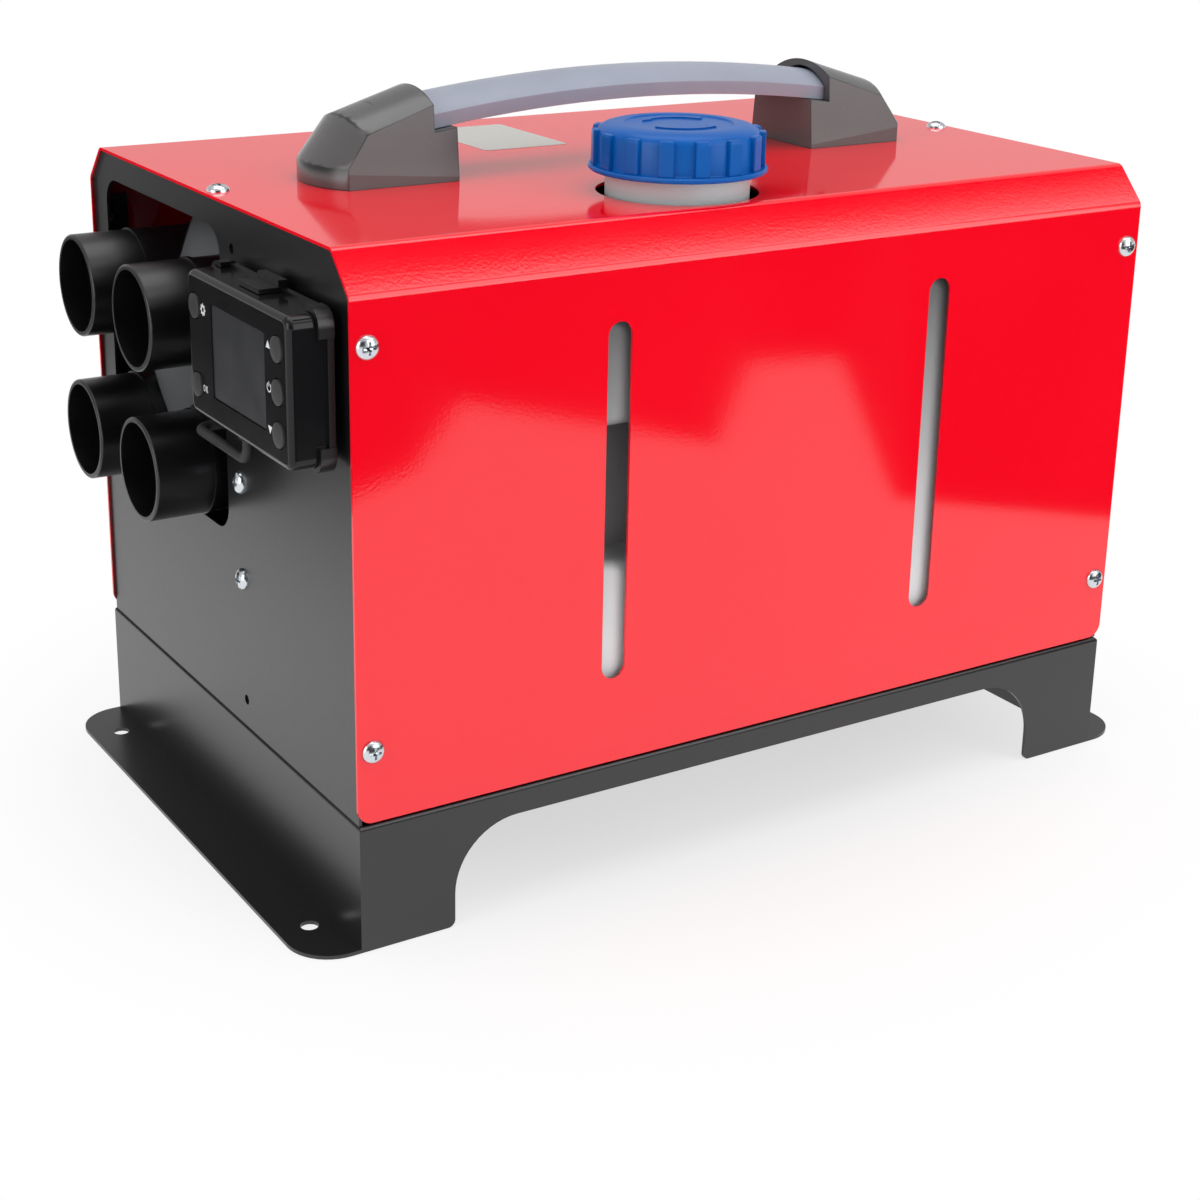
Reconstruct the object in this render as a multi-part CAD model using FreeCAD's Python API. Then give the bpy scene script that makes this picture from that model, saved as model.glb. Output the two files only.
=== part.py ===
import FreeCAD, Part
import math
import os

os.makedirs("parts", exist_ok=True)
Vector = FreeCAD.Vector
X_AXIS = Vector(1, 0, 0)
Y_AXIS = Vector(0, 1, 0)
Z_AXIS = Vector(0, 0, 1)

# Cabinet, in millimetres, floor at zero height, outlets at the -X end, sight slots at -Y
cover_length = 370.0
cover_depth = 252.0
cover_top = 264.0
cover_sheet = 1.2
bevel_run = 13.6
bevel_drop = 14.7
cover_bend = 4.0
cover_corner = 6.0
cover_seam = 1.0
slot_spacing = 152.0
slot_width = 10.5
slot_low = 36.1
slot_height = 141.0
base_height = 51.5
base_sheet = 1.5
base_inset = 0.5
base_bend = 2.0
flange_width = 22.0
flange_corner = 18.0
foot_hole_radius = 3.5
foot_hole_setback = 9.1
foot_hole_edge = 26.0
arch_margin = 39.5
arch_height = 40.6
arch_corner = 27.0
foot_corner = 3.0
panel_sheet = 1.2
panel_recess = 1.0
panel_flange = 14.0
panel_fit = 0.3
cover_screw_inset = 6.4
cover_screw_high = 32.5
cover_screw_low = 29.3

# Screws
screw_radius = 2.0
screw_head_radius = 4.5
screw_head_height = 2.6
screw_length = 7.0
thread_fit = 0.05
hole_fit = 0.4

# Partition and heater shelf
divider_back = -19.0
divider_sheet = 1.2
divider_tab = 12.0
divider_top_gap = 12.0
divider_foot = 10.0
divider_screw_heights = (63.0, 103.1)
spare_hole_heights = (11.5, 195.0)
shelf_share = 0.32513
shelf_sheet = 1.5
shelf_left = -121.5
shelf_right = 151.5
shelf_side_gap = 4.5
shelf_foot = 14.0

# Heater casing and its insides
heater_gap = 8.65
heater_back_gap = 20.15
heater_headroom = 18.6
shell_corner = 24.0
shell_wall = 2.5
shell_left = -118.0
shell_right = 140.0
gasket_thickness = 2.0
core_gap = 21.5
core_wall = 5.0
core_left = -105.0
core_right = 30.0
fin_gap = 5.5
fin_thickness = 2.2
fin_count = 24
stub_radius = 12.0
stub_wall = 1.2
stub_bottom = 22.0
exhaust_x = -34.0
air_stub_x = 6.0
motor_gap = 15.0
motor_length = 40.0
shaft_radius = 3.0
shaft_gap = 0.4
fan_gap = 7.5
fan_blades = 9
impeller_gap = 6.0
flame_gap = 12.0
flame_sheet = 1.5
impeller_blades = 12
inlet_radius = 37.5
inlet_reach = 18.0
inlet_bead = 0.6
shroud_gap = 2.0
shroud_wall = 2.0
trim_thickness = 3.0
trim_spread = 0.9
trim_size = 1.45
trim_head_radius = 3.6
trim_head_height = 2.0
heater_bolt_radius = 3.0
heater_bolt_head = 5.5
heater_bolt_grip = 13.0
heater_bolt_reach = 17.0
heater_bolt_edge = 34.5
foot_reach = 22.0
foot_half_depth = 29.0
burner_ring = 14.0
burner_length = 90.0
burner_pipe_x = 90.0
burner_pipe_radius = 2.0
burner_pipe_bend = 8.0
burner_pipe_drop = 13.0
plug_radius = 5.0
seat_gap = 0.3

# Four outlets
duct_radius = 21.0
duct_wall = 2.0
duct_reach = 26.0
duct_share_y = 0.54522
duct_share_z = 0.5041
duct_collar = 0.6
cutout_side_gap = 3.4
cutout_top_fit = 0.1
cutout_shift_y = 1.35
cutout_shift_z = 7.8
cutout_corner = 11.0

# Fuel tank, filler and cap
tank_wall = 2.5
tank_round = 14.0
tank_front_gap = 2.3
tank_back_gap = 2.0
tank_end_gap = 17.0
tank_headroom = 26.8
tank_pad = 3.0
recess_half = 30.0
recess_drop = 49.0
recess_height = 54.0
recess_depth = 20.0
recess_round = 8.0
recess_lip = 5.0
pad_inner = 40.0
pad_outer = 120.0
strap_x = 110.0
strap_half = 9.0
strap_sheet = 1.2
strap_lip = 28.0
strap_tab = 16.0
filler_x = -20.0
neck_radius = 28.3
neck_wall = 3.0
neck_rise = 21.5
filler_hole_fit = 3.7
cap_lift_gap = 8.5
cap_height = 18.0
cap_roof = 3.0
cap_wall = 2.1
cap_bore_fit = 1.6
cap_rim_out = 3.0
cap_rim_height = 2.0
rib_out = 1.8
rib_width = 5.8
rib_count = 15
seal_thickness = 2.0
thread_pitch = 6.0
thread_depth = 1.0
thread_base = 2.4
thread_tip = 1.0

# Fuel line
line_height = 19.0
line_back = 29.0
outlet_x = -95.0
barb_radius = 2.1
hose_radius = 3.5
hose_bore = 2.2
hose_bend = 14.0
pump_radius = 15.0
pump_left = 0.0
pump_length = 62.0
filter_radius = 11.0
filter_left = -70.0
filter_length = 35.0

# Carrying handle
handle_y = -2.0
handle_half_width = 22.0
handle_bolt_outer = 126.0
handle_bolt_pitch = 20.0
handle_bolt_radius = 2.5
handle_bolt_head = 4.6
grip_bolt_top = 26.0
foot_bolt_top = 13.5
foot_inward = 39.0
notch_inward = 29.0
grip_inward = 13.0
crest_outward = 3.0
corner_outward = 9.0
nose_outward = 17.5
nose_rim = 8.0
crest_low = 26.0
crest_high = 35.8
dome_radius = 37.0
grip_half_width = 16.0
grip_lip = 5.6
grip_crown = 6.0
grip_low = 20.0
grip_rise = 7.0
grip_gap = 0.3
grip_top_gap = 1.2

# Display unit on the left end
display_side_gap = 9.05
display_top_gap = 49.0
display_width = 89.5
display_height = 55.0
display_corner = 4.5
display_edge = 2.6
display_wall = 1.5
display_depth = 14.0
display_split = 7.0
bracket_plate = 2.5
bracket_standoff = 3.5
bracket_claw = 3.5
bracket_rim = 1.5
claw_wall = 1.8
claw_leg = 8.0
screen_width = 47.2
screen_height = 35.4
screen_shift_y = -1.3
screen_shift_z = 0.7
button_radius = 4.6
button_fit = 0.4
button_flange = 1.0
button_travel = 1.0
button_dome = 0.9
board_thickness = 1.6
switch_height = 3.5
button_places = {
    "button_settings": (37.0, 14.6),
    "button_ok": (37.0, -15.3),
    "button_up": (-35.8, 15.0),
    "button_power": (-35.8, -0.3),
    "button_down": (-35.8, -15.6),
}
cable_radius = 2.0

# Power cable grommet on the right end
grommet_bore = 5.0
grommet_hole = 8.0
grommet_flange = 11.0
grommet_back_gap = 46.0
grommet_height = 20.0

# Places worked out from the sizes above
half_length = cover_length / 2
half_depth = cover_depth / 2
cover_bottom = base_height + cover_seam
cover_inside = cover_top - cover_sheet
base_half = half_length - base_inset
panel_face = half_length - panel_recess
panel_back = panel_face - panel_sheet
foot_hole_x = base_half + foot_hole_setback
foot_hole_y = half_depth - foot_hole_edge
divider_front = divider_back - divider_sheet
divider_screw_y = divider_back - divider_tab / 2 + 1.0
shelf_top = base_height + (cover_inside - base_height) * shelf_share
shelf_under = shelf_top - shelf_sheet
heater_front = divider_back + heater_gap
heater_back = half_depth - cover_sheet - heater_back_gap
heater_bottom = shelf_top + gasket_thickness
heater_top = cover_inside - heater_headroom
shell_half_width = (heater_back - heater_front) / 2
shell_half_height = (heater_top - heater_bottom) / 2
heater_y = heater_front + shell_half_width
heater_z = heater_bottom + shell_half_height
casing_half = min(shell_half_width, shell_half_height)
core_radius = casing_half - core_gap
fin_radius = casing_half - fin_gap
fan_radius = casing_half - fan_gap
motor_radius = core_radius - motor_gap
impeller_radius = core_radius - impeller_gap
flame_radius = core_radius - flame_gap
shelf_half_depth = shell_half_width - shelf_side_gap
heater_bolt_half = shell_half_width - heater_bolt_edge
duct_offset_y = shell_half_width * duct_share_y
duct_offset_z = shell_half_height * duct_share_z
cutout_half_y = shell_half_width + cutout_side_gap
cutout_half_z = shell_half_height - cutout_top_fit
duct_mouth = -(panel_face + duct_reach)
tank_front = -(half_depth - cover_sheet - tank_front_gap)
tank_back = divider_back - divider_tab - tank_back_gap
tank_half = half_length - tank_end_gap
tank_bottom = base_height + tank_pad
tank_top = cover_inside - tank_headroom
filler_y = (tank_front + tank_back) / 2
neck_top = cover_top + neck_rise
cap_bottom = cover_top + cap_lift_gap
cap_bore = neck_radius + cap_bore_fit
cap_radius = cap_bore + cap_wall
cap_inside = neck_top + seal_thickness
cap_top = cap_inside + cap_roof
line_z = base_height + line_height
line_y = divider_back + line_back
display_y = divider_back - display_side_gap - display_width / 2
display_z = cover_top - display_top_gap
bracket_back = -(panel_face + bracket_standoff)
display_back = bracket_back - bracket_plate
display_join = display_back - display_split
display_front = display_back - display_depth
board_x = display_back - display_wall - 0.8
handle_bolt_inner = handle_bolt_outer - handle_bolt_pitch
handle_inner = handle_bolt_outer - foot_inward
handle_notch = handle_bolt_outer - notch_inward
grip_end = handle_bolt_outer - grip_inward
crest_low_x = handle_bolt_outer + crest_outward
handle_corner = handle_bolt_outer + corner_outward
handle_nose = handle_bolt_outer + nose_outward
grommet_y = half_depth - grommet_back_gap
grommet_z = base_height + grommet_height


# Plain shapes used for many pieces
def block(x0, x1, y0, y1, z0, z1):
    return Part.makeBox(x1 - x0, y1 - y0, z1 - z0, Vector(x0, y0, z0))


def rod(radius, start, end):
    first = Vector(*start)
    run = Vector(*end) - first
    return Part.makeCylinder(radius, run.Length, first, run)


def sleeve(outer, inner, start, end):
    return rod(outer, start, end).cut(rod(inner, start, end))


def edges_along(shape, axis):
    return [edge for edge in shape.Edges
            if abs(edge.tangentAt(edge.FirstParameter).dot(axis)) > 0.99 and edge.Length > 0.5]


def soft_block(axis, radius, x0, x1, y0, y1, z0, z1):
    shape = block(x0, x1, y0, y1, z0, z1)
    return shape.makeFillet(radius, edges_along(shape, axis))


def outline_face(points):
    corners = [Vector(*point) for point in points]
    return Part.Face(Part.makePolygon(corners + corners[:1]))


def prism_x(points, x0, x1):
    return outline_face([(x0, y, z) for y, z in points]).extrude(Vector(x1 - x0, 0, 0))


def turned(points, place, axis):
    centre = Vector(*place)
    side = X_AXIS if abs(axis.dot(X_AXIS)) < 0.5 else Z_AXIS
    profile = outline_face([tuple(centre + side * r + axis * h) for r, h in points])
    return profile.revolve(centre, axis, 360)


def half_space(point, normal, reach):
    return Part.makeCylinder(reach, reach, Vector(*point), Vector(*normal))


def joined(shapes):
    result = shapes[0].multiFuse(shapes[1:]) if len(shapes) > 1 else shapes[0]
    return result.removeSplitter()


def inset(points, distance):
    moved = []
    for index, (y, z) in enumerate(points):
        normals = []
        for first, second in ((index - 1, index), (index, index + 1)):
            if first >= 0 and second < len(points):
                dy = points[second][0] - points[first][0]
                dz = points[second][1] - points[first][1]
                size = math.hypot(dy, dz)
                normals.append((dz / size, -dy / size))
        ny = sum(normal[0] for normal in normals)
        nz = sum(normal[1] for normal in normals)
        scale = distance
        if len(normals) == 2:
            scale = distance / (1 + normals[0][0] * normals[1][0] + normals[0][1] * normals[1][1])
        moved.append((y + ny * scale, z + nz * scale))
    return moved


def route(points, bend):
    corners = [Vector(*point) for point in points]
    edges = []
    start = corners[0]
    for before, corner, after in zip(corners, corners[1:], corners[2:]):
        into = (corner - before).normalize()
        out = (after - corner).normalize()
        turn = into.getAngle(out)
        reach = bend * math.tan(turn / 2)
        first = corner - into * reach
        last = corner + out * reach
        inward = (out - into).normalize()
        middle = corner + inward * (bend / math.cos(turn / 2) - bend)
        if (first - start).Length > 0.001:
            edges.append(Part.makeLine(start, first))
        edges.append(Part.Arc(first, middle, last).toShape())
        start = last
    edges.append(Part.makeLine(start, corners[-1]))
    return Part.Wire(edges)


def swept(points, bend, radius):
    path = route(points, bend)
    start = Vector(*points[0])
    ring = Part.Wire(Part.makeCircle(radius, start, Vector(*points[1]) - start))
    return path.makePipe(Part.Face(ring))


def screw(place, axis, head_radius, head_height, radius, length):
    base = Vector(*place)
    ball = (head_radius ** 2 + head_height ** 2) / (2 * head_height)
    head = Part.makeSphere(ball, base + axis * (head_height - ball))
    head = head.common(Part.makeCylinder(head_radius, head_height, base, axis))
    shank = Part.makeCylinder(radius, length, base, -axis)
    side = Y_AXIS if abs(axis.dot(Y_AXIS)) < 0.5 else X_AXIS
    across = axis.cross(side)
    arms = []
    for direction, other in ((side, across), (across, side)):
        corner = base + axis * (head_height * 0.35) - direction * (head_radius * 0.6) - other * 0.55
        arms.append(Part.Face(Part.makePolygon([
            corner, corner + direction * (head_radius * 1.2),
            corner + direction * (head_radius * 1.2) + other * 1.1, corner + other * 1.1, corner,
        ])).extrude(axis * head_height))
    return head.fuse(shank).removeSplitter().cut(arms[0].fuse(arms[1]))


def thread_ridge(base_radius, tip_radius, z0, turns, phase):
    path = Part.Wire(Part.makeHelix(thread_pitch, thread_pitch * turns, base_radius))
    profile = Part.makePolygon([
        Vector(base_radius, 0, -thread_base / 2), Vector(tip_radius, 0, -thread_tip / 2),
        Vector(tip_radius, 0, thread_tip / 2), Vector(base_radius, 0, thread_base / 2),
        Vector(base_radius, 0, -thread_base / 2),
    ])
    ridge = path.makePipeShell([profile], True, True)
    ridge.rotate(Vector(0, 0, 0), Z_AXIS, phase)
    ridge.translate(Vector(filler_x, filler_y, z0))
    return ridge


parts = {}

# Base frame: one folded steel pan with arches at front and back and a bolt flange at each end
pan = block(-base_half, base_half, -half_depth, half_depth, 0, base_height)
pan_top = [edge for edge in pan.Edges if min(v.Z for v in edge.Vertexes) > base_height - 0.1]
pan = pan.makeFillet(base_bend, pan_top)
hollow = block(-base_half + base_sheet, base_half - base_sheet, -half_depth + base_sheet,
               half_depth - base_sheet, -1, base_height - base_sheet)
pan = pan.cut(hollow)
arch_half = base_half - arch_margin
arch = Part.Wire([
    Part.makeLine(Vector(-arch_half - foot_corner, -half_depth - 1, -1),
                  Vector(-arch_half - foot_corner, -half_depth - 1, 0)),
    Part.Arc(Vector(-arch_half - foot_corner, -half_depth - 1, 0),
             Vector(-arch_half - foot_corner * (1 - math.sqrt(0.5)), -half_depth - 1,
                    foot_corner * (1 - math.sqrt(0.5))),
             Vector(-arch_half, -half_depth - 1, foot_corner)).toShape(),
    Part.makeLine(Vector(-arch_half, -half_depth - 1, foot_corner),
                  Vector(-arch_half, -half_depth - 1, arch_height - arch_corner)),
    Part.Arc(Vector(-arch_half, -half_depth - 1, arch_height - arch_corner),
             Vector(-arch_half + arch_corner * (1 - math.sqrt(0.5)), -half_depth - 1,
                    arch_height - arch_corner * (1 - math.sqrt(0.5))),
             Vector(-arch_half + arch_corner, -half_depth - 1, arch_height)).toShape(),
    Part.makeLine(Vector(-arch_half + arch_corner, -half_depth - 1, arch_height),
                  Vector(0, -half_depth - 1, arch_height)),
    Part.makeLine(Vector(0, -half_depth - 1, arch_height), Vector(0, -half_depth - 1, -1)),
    Part.makeLine(Vector(0, -half_depth - 1, -1),
                  Vector(-arch_half - foot_corner, -half_depth - 1, -1)),
])
arch = Part.Face(arch).extrude(Vector(0, cover_depth + 2, 0))
arch = arch.fuse(arch.mirror(Vector(0, 0, 0), X_AXIS)).removeSplitter()
flange = block(base_half - base_sheet, base_half + flange_width, -half_depth, half_depth, 0, base_sheet)
flange_ends = [edge for edge in edges_along(flange, Z_AXIS) if edge.CenterOfMass.x > base_half]
flange = flange.makeFillet(flange_corner, flange_ends)
flanges = flange.fuse(flange.mirror(Vector(0, 0, 0), X_AXIS))
base = joined([pan.cut(arch), flanges])
deck_screw_x = panel_back - panel_flange / 2
deck_screws = [(side * deck_screw_x, y) for side in (-1, 1)
               for y in (-half_depth * 0.7, half_depth * 0.15, half_depth * 0.7)]
divider_foot_y = divider_back + divider_foot * 0.6
deck_screws += [(x, divider_foot_y) for x in (-half_length * 0.7, 0, half_length * 0.7)]
shelf_foot_x = (shelf_left - shelf_foot * 0.6, shelf_right + shelf_foot * 0.6)
deck_screws += [(x, heater_y + side * shelf_half_depth * 0.7) for x in shelf_foot_x for side in (-1, 1)]
base_holes = [rod(foot_hole_radius, (sx * foot_hole_x, sy * foot_hole_y, -1),
                  (sx * foot_hole_x, sy * foot_hole_y, base_sheet + 1)) for sx in (-1, 1) for sy in (-1, 1)]
base_holes += [rod(screw_radius + hole_fit, (x, y, base_height - 5), (x, y, base_height + 1))
               for x, y in deck_screws]
base_holes += [rod(stub_radius + 2.0, (x, heater_y, base_height - 5), (x, heater_y, base_height + 1))
               for x in (exhaust_x, air_stub_x)]
parts["base_frame"] = base.cut(Part.makeCompound(base_holes))
parts["base_screws"] = Part.makeCompound([
    screw((x, y, base_height - base_sheet), -Z_AXIS, screw_head_radius, screw_head_height, screw_radius,
          base_sheet + 5.0) for x, y in deck_screws])


# Outer cover: one red sheet folded over front, top and back with a bevel at both long edges
def cover_profile(bottom):
    return [(-half_depth, bottom), (-half_depth, cover_top - bevel_drop),
            (-half_depth + bevel_run, cover_top), (half_depth - bevel_run, cover_top),
            (half_depth, cover_top - bevel_drop), (half_depth, bottom)]


def folded(distance, bottom, x0, x1, radius):
    shape = prism_x(inset(cover_profile(bottom), distance), x0, x1)
    bends = [edge for edge in edges_along(shape, X_AXIS) if edge.CenterOfMass.z > bottom + 20]
    return shape.makeFillet(radius, bends)


cover = folded(0, cover_bottom, -half_length, half_length, cover_bend)
cover = cover.cut(folded(cover_sheet, cover_bottom - 5, -half_length - 1, half_length + 1,
                         cover_bend - cover_sheet))
cover_corners = [edge for edge in edges_along(cover, Y_AXIS)
                 if edge.CenterOfMass.z < cover_bottom + 0.1 and edge.Length < 2 * cover_sheet]
cover = cover.makeFillet(cover_corner, cover_corners)
cover_screw_x = half_length - cover_screw_inset
cover_screw_heights = (cover_top - cover_screw_high, base_height + cover_screw_low)
handle_bolts = [(side * x, handle_y) for side in (-1, 1) for x in (handle_bolt_inner, handle_bolt_outer)]
slot_z = (base_height + slot_low + slot_width / 2, base_height + slot_low + slot_height - slot_width / 2)
cover_holes = []
for side in (-1, 1):
    slot_x = side * slot_spacing / 2
    for z in slot_z:
        cover_holes.append(rod(slot_width / 2, (slot_x, -half_depth - 1, z), (slot_x, -half_depth + 5, z)))
    cover_holes.append(block(slot_x - slot_width / 2, slot_x + slot_width / 2, -half_depth - 1,
                             -half_depth + 5, slot_z[0], slot_z[1]))
    for z in cover_screw_heights:
        cover_holes.append(rod(screw_radius + hole_fit, (side * cover_screw_x, -half_depth - 1, z),
                               (side * cover_screw_x, half_depth + 1, z)))
    cover_holes.append(rod(screw_radius + hole_fit, (side * cover_screw_x, 0, cover_top - 5),
                           (side * cover_screw_x, 0, cover_top + 1)))
cover_holes.append(rod(neck_radius + filler_hole_fit, (filler_x, filler_y, cover_top - 5),
                       (filler_x, filler_y, cover_top + 1)))
for x, y in handle_bolts:
    cover_holes.append(rod(handle_bolt_radius + hole_fit, (x, y, cover_top - 5), (x, y, cover_top + 1)))
parts["outer_cover"] = cover.cut(Part.makeCompound(cover_holes))
cover_screws = []
for side in (-1, 1):
    for z in cover_screw_heights:
        for face in (-1, 1):
            cover_screws.append(screw((side * cover_screw_x, face * half_depth, z), Y_AXIS * face,
                                      screw_head_radius, screw_head_height, screw_radius, screw_length))
    cover_screws.append(screw((side * cover_screw_x, 0, cover_top), Z_AXIS, screw_head_radius,
                              screw_head_height, screw_radius, screw_length))
parts["cover_screws"] = Part.makeCompound(cover_screws)

# End panels: black trays whose bent edges carry the cover screws and stand on the deck
tray_out = cover_sheet + panel_fit
tray = prism_x(inset(cover_profile(base_height), tray_out), panel_face - panel_flange, panel_face)
tray = tray.cut(prism_x(inset(cover_profile(base_height + panel_sheet), tray_out + panel_sheet),
                        panel_face - panel_flange - 1, panel_back))
panel_holes = []
for side in (-1, 1):
    low, high = sorted((side * (half_depth - bevel_run - 8), side * (half_depth + 1)))
    panel_holes.append(block(panel_face - panel_flange - 1, panel_back, low, high,
                             cover_top - bevel_drop - 8, cover_top + 1))
    low, high = sorted((side * (half_depth - 7), side * (half_depth + 1)))
    panel_holes.append(block(panel_face - panel_flange - 1, panel_back, low, high,
                             base_height - 1, base_height + 7))
for z in cover_screw_heights:
    panel_holes.append(rod(screw_radius + thread_fit, (cover_screw_x, -half_depth - 1, z),
                           (cover_screw_x, half_depth + 1, z)))
panel_holes.append(rod(screw_radius + thread_fit, (cover_screw_x, 0, cover_top - 8),
                       (cover_screw_x, 0, cover_top)))
for x, y in deck_screws[3:6]:
    panel_holes.append(rod(screw_radius + thread_fit, (x, y, base_height - 1), (x, y, base_height + 5)))
for height in divider_screw_heights + spare_hole_heights:
    z = base_height + height
    panel_holes.append(rod(screw_radius + thread_fit, (panel_back - 2, divider_screw_y, z),
                           (panel_face + 1, divider_screw_y, z)))
tray = tray.cut(Part.makeCompound(panel_holes))
trim_places = [(heater_y + sy * inlet_radius * trim_spread, heater_z + sz * inlet_radius * trim_spread)
               for sy in (-1, 1) for sz in (-1, 1)]
right_holes = [
    rod(inlet_radius + 2.0, (panel_back - 1, heater_y, heater_z), (panel_face + 1, heater_y, heater_z)),
    rod(grommet_hole, (panel_back - 1, grommet_y, grommet_z), (panel_face + 1, grommet_y, grommet_z))]
right_holes += [rod(screw_radius + thread_fit, (panel_back - 1, y, z), (panel_face + 1, y, z))
                for y, z in trim_places]
parts["right_end_panel"] = tray.cut(Part.makeCompound(right_holes))
cutout_y = heater_y + cutout_shift_y
cutout_z = heater_z + cutout_shift_z
cutout = soft_block(X_AXIS, cutout_corner, -panel_face - 1, -panel_back + 1, cutout_y - cutout_half_y,
                    cutout_y + cutout_half_y, cutout_z - cutout_half_z, cutout_z + cutout_half_z)
bracket_screw_places = [(display_y + side * display_width * 0.3, display_z) for side in (-1, 1)]
left_holes = [cutout] + [rod(screw_radius + thread_fit, (-panel_face - 1, y, z), (-panel_back + 1, y, z))
                         for y, z in bracket_screw_places]
parts["left_end_panel"] = tray.mirror(Vector(0, 0, 0), X_AXIS).cut(Part.makeCompound(left_holes))
parts["end_panel_screws"] = Part.makeCompound([
    screw((side * panel_face, divider_screw_y, base_height + height), X_AXIS * side, screw_head_radius,
          screw_head_height, screw_radius, screw_length)
    for side in (-1, 1) for height in divider_screw_heights])

# Divider plate: steel sheet between tank and heater, bent at the ends and at the foot
divider_top = cover_inside - divider_top_gap
divider = block(-panel_back, panel_back, divider_front, divider_back, base_height, divider_top)
foot_half = panel_face - panel_flange - 8.0
divider = divider.cut(Part.makeCompound([
    block(side * foot_half if side > 0 else -panel_back - 1, panel_back + 1 if side > 0 else -foot_half,
          divider_front - 1, divider_back + 1, base_height - 1, base_height + panel_sheet + seat_gap)
    for side in (-1, 1)]))
divider_bits = [divider, block(-foot_half, foot_half, divider_front, divider_back + divider_foot,
                               base_height, base_height + divider_sheet)]
for side in (-1, 1):
    low, high = sorted((side * panel_back, side * (panel_back - divider_sheet)))
    divider_bits.append(block(low, high, divider_back - divider_tab, divider_back,
                              base_height + panel_sheet + seat_gap, divider_top))
divider = joined(divider_bits)
divider_holes = [rod(screw_radius + thread_fit, (-panel_face, divider_screw_y, base_height + height),
                     (panel_face, divider_screw_y, base_height + height)) for height in divider_screw_heights]
divider_holes += [rod(screw_radius + thread_fit, (x, y, base_height - 1), (x, y, base_height + 5))
                  for x, y in deck_screws[6:9]]
divider_holes.append(rod(9.0, (outlet_x, divider_front - 1, line_z), (outlet_x, divider_back + 1, line_z)))
parts["divider_plate"] = divider.cut(Part.makeCompound(divider_holes))

# Heater shelf: a steel bridge over the pump, standing on the deck
shelf = block(shelf_left, shelf_right, heater_y - shelf_half_depth, heater_y + shelf_half_depth,
              base_height, shelf_top)
shelf = shelf.cut(block(shelf_left + shelf_sheet, shelf_right - shelf_sheet, heater_y - shelf_half_depth - 1,
                        heater_y + shelf_half_depth + 1, base_height - 1, shelf_under))
shelf_feet = [block(x0, x1, heater_y - shelf_half_depth, heater_y + shelf_half_depth, base_height,
                    base_height + shelf_sheet)
              for x0, x1 in ((shelf_left - shelf_foot, shelf_left + shelf_sheet),
                             (shelf_right - shelf_sheet, shelf_right + shelf_foot))]
shelf = joined([shelf] + shelf_feet)
bolt_places = [(x, heater_y + side * heater_bolt_half)
               for x in (exhaust_x - heater_bolt_reach, air_stub_x + heater_bolt_reach) for side in (-1, 1)]
pump_clamp_x = pump_left + pump_length * 0.5
shelf_holes = [rod(stub_radius + 2.0, (x, heater_y, shelf_under - 1), (x, heater_y, shelf_top + 1))
               for x in (exhaust_x, air_stub_x)]
shelf_holes += [rod(heater_bolt_radius + hole_fit, (x, y, shelf_under - 1), (x, y, shelf_top + 1))
                for x, y in bolt_places]
shelf_holes.append(rod(hose_radius + 1.5, (burner_pipe_x, heater_y, shelf_under - 1),
                       (burner_pipe_x, heater_y, shelf_top + 1)))
shelf_holes += [rod(screw_radius + thread_fit, (x, y, base_height - 1), (x, y, base_height + 5))
                for x, y in deck_screws[9:]]
parts["heater_shelf"] = shelf.cut(Part.makeCompound(shelf_holes))


# Heater casing: two black plastic half shells closed round the exchanger and blower
def casing(inward, x0, x1):
    return soft_block(X_AXIS, shell_corner - inward, x0, x1, heater_y - shell_half_width + inward,
                      heater_y + shell_half_width - inward, heater_z - shell_half_height + inward,
                      heater_z + shell_half_height - inward)


foot_x = (exhaust_x - foot_reach, air_stub_x + foot_reach)
shell = casing(0, shell_left, shell_right).cut(casing(shell_wall, shell_left - 1, shell_right + 1))
lower = shell.cut(block(shell_left - 1, shell_right + 1, heater_front - 1, heater_back + 1, heater_z,
                        heater_top + 1))
lower = lower.cut(block(foot_x[0] - 1, foot_x[1] + 1, heater_y - foot_half_depth - 1,
                        heater_y + foot_half_depth + 1, heater_bottom - 1, heater_bottom + shell_wall + 1))
parts["heater_lower_shell"] = lower.cut(rod(3.5, (burner_pipe_x, heater_y, heater_bottom - 1),
                                            (burner_pipe_x, heater_y, heater_bottom + 5)))
parts["heater_upper_shell"] = shell.cut(block(shell_left - 1, shell_right + 1, heater_front - 1,
                                              heater_back + 1, heater_bottom - 1, heater_z))

# Outlet manifold: one black moulding that splits the hot air into four round ducts
dome_front = -panel_face
dome_size = 89.0
dome_mid = Vector(dome_front + dome_size, heater_y, heater_z)
manifold = casing(0, dome_front - 5, shell_left).common(Part.makeSphere(dome_size, dome_mid))
spigot = casing(shell_wall + seat_gap, shell_left - 2, shell_left + 8)
manifold = manifold.fuse(spigot)
duct_places = [(heater_y + sy * duct_offset_y, heater_z + sz * duct_offset_z)
               for sz in (1, -1) for sy in (1, -1)]
bores = []
for y, z in duct_places:
    tube = rod(duct_radius, (duct_mouth, y, z), (dome_front + 34, y, z))
    lip = [edge for edge in tube.Edges if edge.CenterOfMass.x < duct_mouth + 0.1]
    tube = tube.makeFillet(duct_wall * 0.4, lip)
    collar = rod(duct_radius + duct_collar, (dome_front - 2, y, z), (dome_front, y, z))
    manifold = manifold.fuse(tube.fuse(collar))
    bores.append(rod(duct_radius - duct_wall, (duct_mouth - 1, y, z), (dome_front + 40, y, z)))
inner_void = casing(shell_wall, dome_front - 5, shell_left - 2).common(
    Part.makeSphere(dome_size - shell_wall, dome_mid))
manifold = manifold.cut(inner_void)
manifold = manifold.cut(casing(2 * shell_wall + seat_gap, shell_left - 3, shell_left + 9))
parts["duct_manifold"] = manifold.cut(Part.makeCompound(bores)).removeSplitter()

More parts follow.
